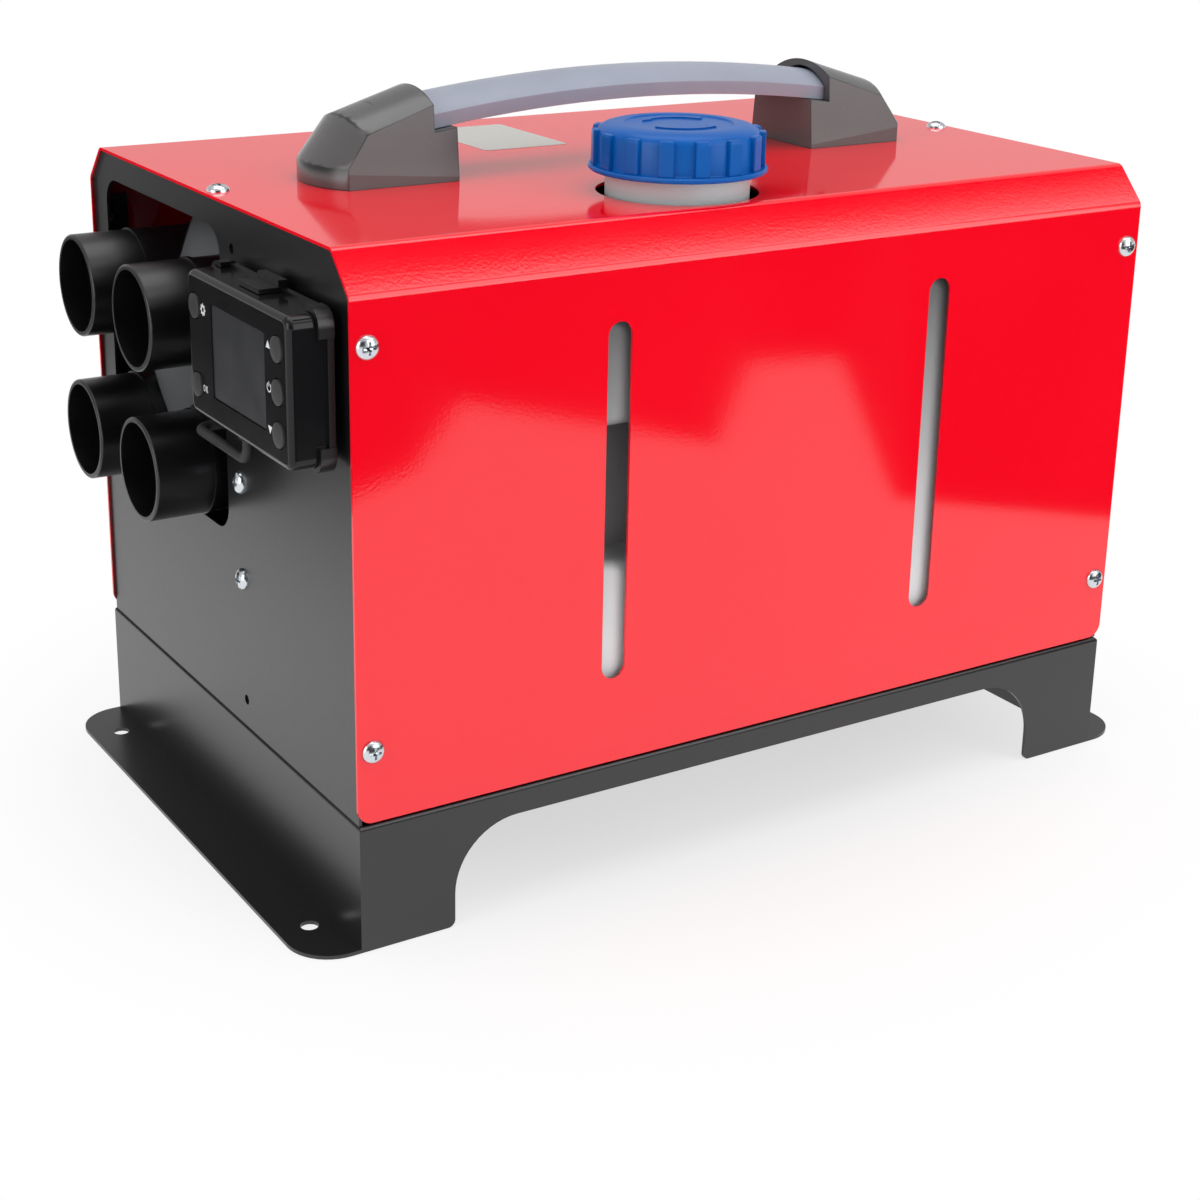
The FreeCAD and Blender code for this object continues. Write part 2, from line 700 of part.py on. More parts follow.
# Heat exchanger: finned aluminium casting with a foot that stands on the shelf gasket
core = rod(core_radius, (core_left, heater_y, heater_z), (core_right, heater_y, heater_z))
fins = []
for index in range(fin_count):
    fin = block(core_left + 5, core_right - 5, heater_y - fin_thickness / 2, heater_y + fin_thickness / 2,
                heater_z + core_radius - 2, heater_z + fin_radius)
    fin.rotate(Vector(0, heater_y, heater_z), X_AXIS, 360 * index / fin_count)
    fins.append(fin)
foot = block(foot_x[0], foot_x[1], heater_y - foot_half_depth, heater_y + foot_half_depth, heater_bottom,
             heater_z - core_radius * 0.7)
exchanger = joined([core, foot] + fins)
exchanger_holes = [rod(core_radius - core_wall, (core_left + core_wall + 2, heater_y, heater_z),
                       (core_right + 1, heater_y, heater_z))]
socket_top = heater_bottom + 10.0
for x in (exhaust_x, air_stub_x):
    exchanger_holes.append(rod(stub_radius + 0.1, (x, heater_y, heater_bottom - 1),
                               (x, heater_y, socket_top)))
    exchanger_holes.append(rod(stub_radius - 2, (x, heater_y, heater_bottom),
                               (x, heater_y, heater_bottom + 22)))
exchanger_holes += [rod(heater_bolt_radius + thread_fit, (x, y, heater_bottom - 1),
                        (x, y, heater_bottom + heater_bolt_grip + 1)) for x, y in bolt_places]
parts["heat_exchanger"] = exchanger.cut(Part.makeCompound(exchanger_holes))
parts["heater_bolts"] = Part.makeCompound([
    rod(heater_bolt_radius, (x, y, shelf_under), (x, y, heater_bottom + heater_bolt_grip)).fuse(
        rod(heater_bolt_head, (x, y, shelf_under - 4), (x, y, shelf_under))).removeSplitter()
    for x, y in bolt_places])
gasket_half = foot_half_depth + 11.0
gasket = block(foot_x[0] - 8, foot_x[1] + 8, heater_y - gasket_half, heater_y + gasket_half, shelf_top,
               heater_bottom)
gasket_holes = [rod(stub_radius + 0.6, (x, heater_y, shelf_top - 1), (x, heater_y, heater_bottom + 1))
                for x in (exhaust_x, air_stub_x)]
gasket_holes += [rod(heater_bolt_radius + hole_fit, (x, y, shelf_top - 1), (x, y, heater_bottom + 1))
                 for x, y in bolt_places]
parts["heater_gasket"] = gasket.cut(Part.makeCompound(gasket_holes))


# Exhaust and combustion air stubs: pipes from the exchanger foot down through the deck
def stub(x):
    deck_under = base_height - base_sheet
    body = rod(stub_radius, (x, heater_y, stub_bottom), (x, heater_y, socket_top - 0.5))
    bead = rod(stub_radius + 0.5, (x, heater_y, deck_under), (x, heater_y, deck_under + 3))
    bore = rod(stub_radius - stub_wall, (x, heater_y, stub_bottom - 1), (x, heater_y, socket_top + 1))
    return body.fuse(bead).removeSplitter().cut(bore)


parts["exhaust_stub"] = stub(exhaust_x)
parts["air_stub"] = stub(air_stub_x)

# Burner: steel flame tube on a thick ring, with its glow plug and fuel pipe
ring_right = core_right + burner_ring
burner_mid = core_right + burner_ring / 2
burner_left = core_right - burner_length
ring_radius = core_radius + 1.0
burner = joined([
    rod(ring_radius, (core_right, heater_y, heater_z), (ring_right, heater_y, heater_z)),
    rod(flame_radius, (burner_left, heater_y, heater_z), (ring_right, heater_y, heater_z))])
burner_holes = [rod(flame_radius - flame_sheet, (burner_left - 1, heater_y, heater_z),
                    (ring_right + 1, heater_y, heater_z))]
for index in range(5):
    for row in range(3):
        row_x = core_right - burner_length * (0.22 + 0.25 * row)
        hole = rod(2.5, (row_x, heater_y - core_radius, heater_z), (row_x, heater_y + core_radius, heater_z))
        hole.rotate(Vector(0, heater_y, heater_z), X_AXIS, 36 * index)
        burner_holes.append(hole)
burner_holes.append(rod(plug_radius + thread_fit, (burner_mid, heater_y, heater_z + flame_radius - 9),
                        (burner_mid, heater_y, heater_z + ring_radius + 8)))
burner_holes.append(rod(burner_pipe_radius + thread_fit, (burner_mid, heater_y, heater_z - ring_radius - 8),
                        (burner_mid, heater_y, heater_z - core_radius + 6)))
parts["burner_tube"] = burner.cut(Part.makeCompound(burner_holes))
plug_seat = heater_z + ring_radius + seat_gap
parts["glow_plug"] = joined([
    rod(plug_radius, (burner_mid, heater_y, heater_z + flame_radius - 4), (burner_mid, heater_y, plug_seat)),
    rod(plug_radius + 2, (burner_mid, heater_y, plug_seat), (burner_mid, heater_y, plug_seat + 8)),
    rod(plug_radius - 3, (burner_mid, heater_y, plug_seat + 8), (burner_mid, heater_y, plug_seat + 13))])
burner_pipe_bottom = shelf_under - 20.0
burner_pipe_level = heater_z - core_radius - burner_pipe_drop
parts["burner_fuel_pipe"] = swept([
    (burner_mid, heater_y, heater_z - core_radius), (burner_mid, heater_y, burner_pipe_level),
    (burner_pipe_x, heater_y, burner_pipe_level), (burner_pipe_x, heater_y, burner_pipe_bottom)],
    burner_pipe_bend, burner_pipe_radius)

# Blower: housing, motor, shaft, combustion impeller on the left and fan wheel on the right
housing_right = ring_right + 24.0
housing = rod(ring_radius, (ring_right, heater_y, heater_z), (housing_right, heater_y, heater_z))
housing = housing.cut(rod(impeller_radius + 2.5, (ring_right - 1, heater_y, heater_z),
                          (housing_right - 4, heater_y, heater_z)))
parts["blower_housing"] = housing.cut(rod(shaft_radius + 1, (housing_right - 5, heater_y, heater_z),
                                          (housing_right + 1, heater_y, heater_z)))
motor_right = housing_right + motor_length
motor = rod(motor_radius, (housing_right, heater_y, heater_z), (motor_right, heater_y, heater_z))
motor = motor.makeFillet(2.0, [edge for edge in motor.Edges if edge.CenterOfMass.x > motor_right - 0.1])
parts["blower_motor"] = motor.cut(rod(shaft_radius + shaft_gap, (housing_right - 1, heater_y, heater_z),
                                      (motor_right + 1, heater_y, heater_z)))
impeller_left = ring_right + 5.0
fan_left = motor_right + 4.0
fan_right = fan_left + 16.0
parts["motor_shaft"] = rod(shaft_radius, (impeller_left - 1, heater_y, heater_z),
                           (fan_right + 1, heater_y, heater_z))
blades = []
for index in range(impeller_blades):
    blade = block(impeller_left, impeller_left + 10, heater_y - 0.8, heater_y + 0.8, heater_z + 9,
                  heater_z + impeller_radius - 0.5)
    blade.rotate(Vector(0, heater_y, heater_z + 9), X_AXIS, 30)
    blade.rotate(Vector(0, heater_y, heater_z), X_AXIS, 360 * index / impeller_blades)
    blades.append(blade)
disc = rod(impeller_radius, (impeller_left + 9, heater_y, heater_z), (impeller_left + 11, heater_y, heater_z))
hub = rod(7.0, (impeller_left, heater_y, heater_z), (impeller_left + 11, heater_y, heater_z))
shaft_hole = rod(shaft_radius, (impeller_left - 5, heater_y, heater_z), (fan_right + 5, heater_y, heater_z))
parts["combustion_impeller"] = joined([disc, hub] + blades).cut(shaft_hole)
blades = []
for index in range(fan_blades):
    blade = block(-0.9, 0.9, heater_y - 11, heater_y + 11, heater_z + 18, heater_z + fan_radius + 5)
    blade.rotate(Vector(0, heater_y, heater_z), Z_AXIS, 42)
    blade.translate(Vector((fan_left + fan_right) / 2, 0, 0))
    blade.rotate(Vector(0, heater_y, heater_z), X_AXIS, 360 * index / fan_blades)
    blades.append(blade)
sweep = rod(fan_radius, (fan_left, heater_y, heater_z), (fan_right, heater_y, heater_z))
hub = rod(22.0, (fan_left, heater_y, heater_z), (fan_right, heater_y, heater_z))
hub = hub.makeFillet(5.0, [edge for edge in hub.Edges if edge.CenterOfMass.x > fan_right - 0.1])
fan = joined([hub] + [blade.common(sweep) for blade in blades])
parts["fan_wheel"] = fan.cut(shaft_hole)
unit_bottom = heater_z + motor_radius + seat_gap
unit = soft_block(Z_AXIS, 3.0, housing_right + 2, motor_right - 4, heater_y - 24, heater_y + 24,
                  unit_bottom, unit_bottom + 18)
parts["control_unit"] = unit

# Air inlet: flanged duct through the right end with a snap in grille and a trim ring
inlet_end = panel_face + inlet_reach
trim_face = panel_face + trim_thickness
inlet = casing(0, shell_right, shell_right + shell_wall)
inlet = inlet.fuse(rod(inlet_radius, (shell_right, heater_y, heater_z), (inlet_end, heater_y, heater_z)))
inlet = inlet.fuse(rod(inlet_radius + inlet_bead, (panel_back - 4, heater_y, heater_z),
                       (trim_face, heater_y, heater_z)))
shroud_radius = fan_radius + shroud_gap
inlet = inlet.fuse(rod(shroud_radius + shroud_wall, (fan_left - 4, heater_y, heater_z),
                       (shell_right + 1, heater_y, heater_z)))
inlet = inlet.cut(rod(shroud_radius, (fan_left - 5, heater_y, heater_z), (shell_right, heater_y, heater_z)))
parts["inlet_duct"] = inlet.cut(rod(inlet_radius - shell_wall, (shell_right - 1, heater_y, heater_z),
                                    (inlet_end + 1, heater_y, heater_z))).removeSplitter()
grille_radius = inlet_radius - shell_wall - seat_gap
grille_left = inlet_end - 6.0
grille_right = inlet_end - 2.0
grille_bits = [sleeve(grille_radius, grille_radius - 2.5, (grille_left, heater_y, heater_z),
                      (grille_right, heater_y, heater_z))]
for share in (0.3, 0.55, 0.78):
    grille_bits.append(sleeve(grille_radius * share, grille_radius * share - 1.6,
                              (grille_left + 1, heater_y, heater_z), (grille_right, heater_y, heater_z)))
for index in range(3):
    bar = block(grille_left + 1, grille_right, heater_y - 0.9, heater_y + 0.9, heater_z - grille_radius + 1,
                heater_z + grille_radius - 1)
    bar.rotate(Vector(0, heater_y, heater_z), X_AXIS, 60 * index)
    grille_bits.append(bar)
parts["inlet_grille"] = joined(grille_bits)
trim = rod(inlet_radius * trim_size, (panel_face, heater_y, heater_z), (trim_face, heater_y, heater_z))
trim = trim.makeFillet(1.2, [edge for edge in trim.Edges if edge.CenterOfMass.x > trim_face - 0.1])
trim = trim.cut(rod(inlet_radius + inlet_bead + seat_gap, (panel_face - 1, heater_y, heater_z),
                    (trim_face + 1, heater_y, heater_z)))
parts["inlet_trim"] = trim.cut(Part.makeCompound([
    rod(screw_radius + hole_fit, (panel_face - 1, y, z), (trim_face + 1, y, z)) for y, z in trim_places]))
parts["trim_screws"] = Part.makeCompound([
    screw((trim_face, y, z), X_AXIS, trim_head_radius, trim_head_height, screw_radius, trim_thickness + 5.0)
    for y, z in trim_places])

# Power grommet: rubber bush in the right end panel
grommet = joined([
    rod(grommet_flange, (panel_back - 2.5, grommet_y, grommet_z), (panel_back, grommet_y, grommet_z)),
    rod(grommet_hole, (panel_back - 2.5, grommet_y, grommet_z), (panel_face + 2.5, grommet_y, grommet_z)),
    rod(grommet_flange, (panel_face, grommet_y, grommet_z), (panel_face + 2.5, grommet_y, grommet_z))])
parts["power_grommet"] = grommet.cut(rod(grommet_bore, (panel_back - 5, grommet_y, grommet_z),
                                         (panel_face + 5, grommet_y, grommet_z)))

# Fuel tank: white blow moulded bottle with a threaded filler neck and a recess behind the left slot
recess_x = -slot_spacing / 2
recess_z = tank_top - recess_drop - recess_height


def recess_block(spare):
    return soft_block(Y_AXIS, recess_round + spare, recess_x - recess_half - spare,
                      recess_x + recess_half + spare, tank_front - 1, tank_front + recess_depth + spare,
                      recess_z - spare, recess_z + recess_height + spare)


tank = block(-tank_half, tank_half, tank_front, tank_back, tank_bottom, tank_top)
tank = tank.makeFillet(tank_round, tank.Edges).cut(recess_block(0))
recess_mouth = block(recess_x - recess_half - 1, recess_x + recess_half + 1, tank_front - 0.1,
                     tank_front + 0.1, recess_z - 1, recess_z + recess_height + 1).BoundBox
tank = tank.makeFillet(recess_lip, [edge for edge in tank.Edges if recess_mouth.isInside(edge.BoundBox)])
tank_void = block(-tank_half + tank_wall, tank_half - tank_wall, tank_front + tank_wall,
                  tank_back - tank_wall, tank_bottom + tank_wall, tank_top - tank_wall)
tank_void = tank_void.makeFillet(tank_round - tank_wall, tank_void.Edges).cut(recess_block(tank_wall))
neck = rod(neck_radius, (filler_x, filler_y, tank_top - 1), (filler_x, filler_y, neck_top))
ridge_low = cap_bottom + 3.0
ridge_turns = (neck_top - thread_base - ridge_low) / thread_pitch
ridge = thread_ridge(neck_radius - 0.3, neck_radius + thread_depth, ridge_low, ridge_turns, 0)
tank = tank.fuse(neck).cut(tank_void)
tank = tank.cut(rod(neck_radius - neck_wall, (filler_x, filler_y, tank_top - tank_wall - 1),
                    (filler_x, filler_y, neck_top + 1)))
tank = tank.cut(rod(5.0 + thread_fit, (outlet_x, tank_back - tank_wall - 2, line_z),
                    (outlet_x, tank_back + 1, line_z)))
parts["fuel_tank"] = tank.fuse(ridge)
pad_y = (tank_front + tank_round + 4, tank_back - tank_round - 4)
parts["tank_pads"] = Part.makeCompound([
    block(x0, x1, pad_y[0], pad_y[1], base_height, tank_bottom)
    for x0, x1 in ((-pad_outer, -pad_inner), (pad_inner, pad_outer))])
straps = []
for side in (-1, 1):
    x0 = side * strap_x - strap_half
    x1 = side * strap_x + strap_half
    strap_front = tank_front - strap_sheet - seat_gap
    strap_top = tank_top + strap_sheet
    top = block(x0, x1, strap_front, divider_front, tank_top, strap_top)
    lip = block(x0, x1, strap_front, tank_front - seat_gap, tank_top - strap_lip, strap_top)
    tab = block(x0, x1, divider_front - strap_sheet, divider_front, tank_top - strap_tab, strap_top)
    straps.append(joined([top, lip, tab]))
parts["tank_straps"] = Part.makeCompound(straps)
parts["tank_outlet"] = joined([
    rod(5.0, (outlet_x, tank_back - tank_wall - 4, line_z), (outlet_x, tank_back, line_z)),
    rod(8.0, (outlet_x, tank_back, line_z), (outlet_x, tank_back + 4, line_z)),
    rod(barb_radius, (outlet_x, tank_back, line_z), (outlet_x, divider_back + 11, line_z))])

# Filler cap: ribbed blue screw cap with a soft seal under its roof
cap = turned([(0, cap_bottom), (cap_radius + cap_rim_out, cap_bottom),
              (cap_radius + cap_rim_out, cap_bottom + cap_rim_height - 0.6),
              (cap_radius + cap_rim_out - 0.6, cap_bottom + cap_rim_height),
              (cap_radius, cap_bottom + cap_rim_height), (cap_radius, cap_top - 3.4),
              (cap_radius - 2.2, cap_top - 1.0), (cap_radius - 5.5, cap_top), (0, cap_top)],
             (filler_x, filler_y, 0), Z_AXIS)
rib_low = cap_bottom + cap_rim_height - 1
rib_ring = turned([(cap_radius - 2, rib_low), (cap_radius + rib_out, rib_low),
                   (cap_radius + rib_out, cap_top - 4.4), (cap_radius + rib_out - 1.2, cap_top - 2.6),
                   (cap_radius - 2, cap_top - 2.6)], (filler_x, filler_y, 0), Z_AXIS)
ribs = []
for index in range(rib_count):
    rib = block(filler_x, filler_x + cap_radius + 5, filler_y - rib_width / 2, filler_y + rib_width / 2,
                cap_bottom, cap_top)
    rib.rotate(Vector(filler_x, filler_y, 0), Z_AXIS, 360 * (index + 0.5) / rib_count)
    ribs.append(rib.common(rib_ring))
cap = cap.multiFuse(ribs)
cap = cap.cut(rod(cap_bore, (filler_x, filler_y, cap_bottom - 1), (filler_x, filler_y, cap_inside)))
cap_thread = thread_ridge(cap_bore + 0.3, cap_bore - thread_depth, ridge_low, ridge_turns, 180)
parts["filler_cap"] = cap.fuse(cap_thread)
parts["cap_seal"] = sleeve(cap_bore - seat_gap, neck_radius - neck_wall + 1, (filler_x, filler_y, neck_top),
                           (filler_x, filler_y, cap_inside))

# Fuel line under the shelf: hose, filter, hose, pump in its rubber clamp, hose to the burner pipe
filter_right = filter_left + filter_length
parts["fuel_filter"] = joined([
    rod(filter_radius, (filter_left, line_y, line_z), (filter_right, line_y, line_z)),
    rod(filter_radius + 1, (filter_left + 14, line_y, line_z), (filter_left + 18, line_y, line_z)),
    rod(barb_radius, (filter_left - 8, line_y, line_z), (filter_right + 8, line_y, line_z))])
pump_right = pump_left + pump_length
parts["fuel_pump"] = joined([
    rod(pump_radius, (pump_left + 6, line_y, line_z), (pump_right - 6, line_y, line_z)),
    rod(8.0, (pump_left, line_y, line_z), (pump_right, line_y, line_z)),
    rod(barb_radius, (pump_left - 8, line_y, line_z), (pump_right + 8, line_y, line_z)),
    block(pump_right - 16, pump_right - 6, line_y - 5, line_y + 5, line_z, line_z + pump_radius + 9)])
clamp = rod(pump_radius + 4, (pump_clamp_x - 10, line_y, line_z), (pump_clamp_x + 10, line_y, line_z))
clamp = clamp.fuse(block(pump_clamp_x - 10, pump_clamp_x + 10, line_y - 4, line_y + 4, line_z, shelf_under))
parts["pump_clamp"] = clamp.cut(rod(pump_radius, (pump_clamp_x - 11, line_y, line_z),
                                    (pump_clamp_x + 11, line_y, line_z))).removeSplitter()


def hose(points):
    return swept(points, hose_bend, hose_radius).cut(swept(points, hose_bend, hose_bore))


parts["fuel_hose_tank"] = hose([(outlet_x, divider_back + 2, line_z), (outlet_x, line_y, line_z),
                                (filter_left - 1, line_y, line_z)])
parts["fuel_hose_filter"] = sleeve(hose_radius, hose_bore, (filter_right + 1, line_y, line_z),
                                   (pump_left - 1, line_y, line_z))
parts["fuel_hose_pump"] = hose([(pump_right + 1, line_y, line_z), (burner_pipe_x, line_y, line_z),
                                (burner_pipe_x, heater_y, line_z),
                                (burner_pipe_x, heater_y, burner_pipe_bottom + 10)])

# Handle: two black plastic feet bolted through the cover and a clear grey grip between them
grip_turn = (handle_notch ** 2 + grip_rise ** 2) / (2 * grip_rise)
grip_centre = Vector(0, handle_y, cover_top + grip_low + grip_rise - grip_turn)


def grip_solid(below, beside, above, reach):
    low = grip_centre.z + grip_turn - below
    shoulder = grip_centre.z + grip_turn + grip_lip
    half = grip_half_width + beside
    crown = shoulder + grip_crown + above
    left = handle_y - half
    right = handle_y + half
    profile = Part.Wire([
        Part.makeLine(Vector(0, left, low), Vector(0, right, low)),
        Part.makeLine(Vector(0, right, low), Vector(0, right, shoulder)),
        Part.Arc(Vector(0, right, shoulder), Vector(0, handle_y, crown), Vector(0, left, shoulder)).toShape(),
        Part.makeLine(Vector(0, left, shoulder), Vector(0, left, low))])
    angle = math.degrees(math.asin(reach / grip_turn))
    face = Part.Face(profile)
    face.rotate(grip_centre, Y_AXIS, -angle)
    return face.revolve(grip_centre, Y_AXIS, 2 * angle)


z0 = cover_top
foot_front = handle_y - handle_half_width
foot_back = handle_y + handle_half_width
plan = Part.Wire([
    Part.makeLine(Vector(handle_inner, foot_front, z0), Vector(handle_corner, foot_front, z0)),
    Part.Arc(Vector(handle_corner, foot_front, z0), Vector(handle_nose, handle_y, z0),
             Vector(handle_corner, foot_back, z0)).toShape(),
    Part.makeLine(Vector(handle_corner, foot_back, z0), Vector(handle_inner, foot_back, z0)),
    Part.makeLine(Vector(handle_inner, foot_back, z0), Vector(handle_inner, foot_front, z0))])
handle_foot = Part.Face(plan).extrude(Vector(0, 0, crest_high + 10))
crest_run = crest_low_x - handle_notch
crest_fall = crest_high - crest_low
bar_start = handle_notch - 20.0
bar_crest = z0 + crest_high + 20.0 * crest_fall / crest_run
bar_half = handle_half_width + 6.0
bar_edge = bar_crest - dome_radius + math.sqrt(dome_radius ** 2 - bar_half ** 2)
bar_front = handle_y - bar_half
bar_back = handle_y + bar_half
bar_low = z0 - 40
bar = Part.Wire([
    Part.Arc(Vector(bar_start, bar_front, bar_edge), Vector(bar_start, handle_y, bar_crest),
             Vector(bar_start, bar_back, bar_edge)).toShape(),
    Part.makeLine(Vector(bar_start, bar_back, bar_edge), Vector(bar_start, bar_back, bar_low)),
    Part.makeLine(Vector(bar_start, bar_back, bar_low), Vector(bar_start, bar_front, bar_low)),
    Part.makeLine(Vector(bar_start, bar_front, bar_low), Vector(bar_start, bar_front, bar_edge))])
handle_foot = handle_foot.common(Part.Face(bar).extrude(Vector(3 * crest_run, 0, -3 * crest_fall)))
nose_lean = (handle_nose - crest_low_x) / (crest_low - nose_rim)
nose_shift = nose_rim * nose_lean
nose_half = handle_half_width + 6.0
nose_bulge = handle_nose - handle_corner
nose_turn = (handle_half_width ** 2 + nose_bulge ** 2) / (2 * nose_bulge)
nose_edge = handle_nose + nose_shift - nose_turn + math.sqrt(nose_turn ** 2 - nose_half ** 2)
nose = Part.Wire([
    Part.Arc(Vector(nose_edge, handle_y - nose_half, z0), Vector(handle_nose + nose_shift, handle_y, z0),
             Vector(nose_edge, handle_y + nose_half, z0)).toShape(),
    Part.makeLine(Vector(nose_edge, handle_y + nose_half, z0), Vector(0, handle_y + nose_half, z0)),
    Part.makeLine(Vector(0, handle_y + nose_half, z0), Vector(0, handle_y - nose_half, z0)),
    Part.makeLine(Vector(0, handle_y - nose_half, z0), Vector(nose_edge, handle_y - nose_half, z0))])
handle_foot = handle_foot.common(Part.Face(nose).extrude(Vector(-60 * nose_lean, 0, 60)))
for side in (-1, 1):
    near = Vector(handle_corner, handle_y + side * handle_half_width, z0 + 6.2)
    far = Vector(handle_inner, handle_y + side * handle_half_width, z0 + 1.8)
    high = Vector(handle_notch, handle_y + side * (handle_half_width - 2.4), z0 + 29.5)
    normal = (far - near).cross(high - near).normalize()
    normal = normal * (1 if normal.y * side > 0 else -1)
    handle_foot = handle_foot.cut(half_space(tuple(near), tuple(normal), 200))
ledge = grip_solid(grip_gap, 30, 60, handle_corner).common(
    block(handle_inner - 5, handle_notch, handle_y - 40, handle_y + 40, z0, z0 + 60))
handle_foot = handle_foot.cut(ledge)
handle_foot = handle_foot.cut(grip_solid(grip_gap, grip_gap, grip_top_gap, grip_end + 1.0))
handle_foot = handle_foot.cut(Part.makeCompound([
    rod(handle_bolt_radius + thread_fit, (x, handle_y, z0 - 1), (x, handle_y, z0 + height))
    for x, height in ((handle_bolt_inner, grip_bolt_top + 4), (handle_bolt_outer, foot_bolt_top + 0.5))]))
parts["handle_foot_right"] = handle_foot
parts["handle_foot_left"] = handle_foot.mirror(Vector(0, 0, 0), X_AXIS)
parts["handle_grip"] = grip_solid(0, 0, 0, grip_end).cut(Part.makeCompound([
    rod(handle_bolt_radius + thread_fit, (side * handle_bolt_inner, handle_y, z0),
        (side * handle_bolt_inner, handle_y, z0 + grip_bolt_top + 0.5)) for side in (-1, 1)]))
handle_bolt_bits = []
for x, y in handle_bolts:
    top = grip_bolt_top if abs(x) < (handle_bolt_inner + handle_bolt_outer) / 2 else foot_bolt_top
    bolt = rod(handle_bolt_radius, (x, y, cover_inside), (x, y, z0 + top))
    head = rod(handle_bolt_head, (x, y, cover_inside - 3.2), (x, y, cover_inside))
    handle_bolt_bits.append(bolt.fuse(head).removeSplitter())
parts["handle_bolts"] = Part.makeCompound(handle_bolt_bits)


# Display bracket: plastic cradle screwed to the left end, corner claws round the rear case
def display_box(inward, x0, x1, corner):
    return soft_block(X_AXIS, corner, x0, x1, display_y - display_width / 2 + inward,
                      display_y + display_width / 2 - inward, display_z - display_height / 2 + inward,
                      display_z + display_height / 2 - inward)


claw_out = claw_wall + seat_gap
plate = display_box(-bracket_rim, display_back, bracket_back, display_corner + bracket_rim)
claws = display_box(-claw_out, display_back - bracket_claw, bracket_back, display_corner + claw_out)
claws = claws.cut(display_box(-seat_gap, display_back - bracket_claw - 1, display_back,
                              display_corner + seat_gap))
claw_span_y = display_width / 2 - claw_leg
claw_span_z = display_height / 2 - claw_leg
claws = claws.cut(block(display_back - 20, bracket_back + 1, display_y - claw_span_y, display_y + claw_span_y,
                        display_z - 60, display_z + 60))
claws = claws.cut(block(display_back - 20, bracket_back + 1, display_y - 80, display_y + 80,
                        display_z - claw_span_z, display_z + claw_span_z))
latch_z = display_z + display_height / 2
latch = joined([
    block(display_back - 1, bracket_back, display_y - 9, display_y + 9, latch_z - 4, latch_z + 4.5),
    block(display_join - 1.5, bracket_back, display_y - 9, display_y + 9, latch_z + seat_gap, latch_z + 2.0)])
latch = latch.cut(display_box(-seat_gap, display_back - 30, display_back, display_corner))
feet = [rod(5.0, (bracket_back, y, z), (-panel_face, y, z)) for y, z in bracket_screw_places]
bracket = joined([plate, claws, latch] + feet)
parts["controller_bracket"] = bracket.cut(Part.makeCompound(
    [rod(screw_radius + hole_fit, (display_back - 1, y, z), (-panel_face + 1, y, z))
     for y, z in bracket_screw_places]
    + [rod(4.0, (display_back - 1, y, z), (display_back + 1.5, y, z)) for y, z in bracket_screw_places]))
parts["bracket_screws"] = Part.makeCompound([
    screw((display_back + 1.5, y, z), -X_AXIS, 3.6, 1.2, screw_radius, bracket_standoff + 5.0)
    for y, z in bracket_screw_places])

# Display cases: two black shells, the front one with a window and five button holes
rear = display_box(0, display_join, display_back, display_corner)
inner_corner = display_corner - display_wall
rear = rear.cut(display_box(display_wall, display_join - 1, display_back - display_wall, inner_corner))
boss_places = [(display_y + sy * (display_width / 2 - 6), display_z + sz * 4.0)
               for sy in (-1, 1) for sz in (-1, 1)]
rear = rear.fuse(Part.makeCompound([rod(2.0, (board_x, y, z), (display_back - display_wall, y, z))
                                    for y, z in boss_places]))
rear = rear.cut(block(display_back - 5.5, display_back - display_wall, display_y + 12, display_y + 22,
                      display_z - display_height / 2 - 1, display_z - display_height / 2 + display_wall + 1))
parts["controller_rear_case"] = rear.removeSplitter()
front = display_box(0, display_front, display_join, display_corner)
rim = [edge for edge in front.Edges if edge.CenterOfMass.x < display_front + 0.1]
front = front.makeFillet(display_edge, rim)
front = front.cut(display_box(display_wall, display_front + display_wall + 1, display_join + 1, inner_corner))
screen_y = display_y + screen_shift_y
screen_z = display_z + screen_shift_z
front_holes = [soft_block(X_AXIS, 1.0, display_front - 1, display_front + 4,
                          screen_y - screen_width / 2, screen_y + screen_width / 2,
                          screen_z - screen_height / 2, screen_z + screen_height / 2)]
for dy, dz in button_places.values():
    front_holes.append(rod(button_radius + button_fit, (display_front - 1, display_y + dy, display_z + dz),
                           (display_front + 4, display_y + dy, display_z + dz)))
parts["controller_front_case"] = front.cut(Part.makeCompound(front_holes))
screen_gap = 0.3
parts["controller_screen"] = soft_block(
    X_AXIS, 0.8, display_front + 0.4, board_x - board_thickness, screen_y - screen_width / 2 + screen_gap,
    screen_y + screen_width / 2 - screen_gap, screen_z - screen_height / 2 + screen_gap,
    screen_z + screen_height / 2 - screen_gap)
board = display_box(display_wall + 0.6, board_x - board_thickness, board_x, 2.0)
switch_front = board_x - board_thickness - switch_height
switches = [block(switch_front, board_x - board_thickness, display_y + dy - 3, display_y + dy + 3,
                  display_z + dz - 3, display_z + dz + 3) for dy, dz in button_places.values()]
parts["controller_board"] = joined([board] + switches)
flange_front = display_front + display_wall + 1 + seat_gap
for name, (dy, dz) in button_places.items():
    y = display_y + dy
    z = display_z + dz
    post = rod(button_radius, (display_front - 0.2 - button_dome, y, z), (flange_front, y, z))
    post = post.makeFillet(button_dome, [edge for edge in post.Edges if edge.CenterOfMass.x < display_front])
    flange = rod(button_radius + button_flange, (flange_front, y, z), (flange_front + 1, y, z))
    stem = rod(2.0, (flange_front + 1, y, z), (switch_front - button_travel - seat_gap, y, z))
    parts[name] = joined([post, flange, stem])

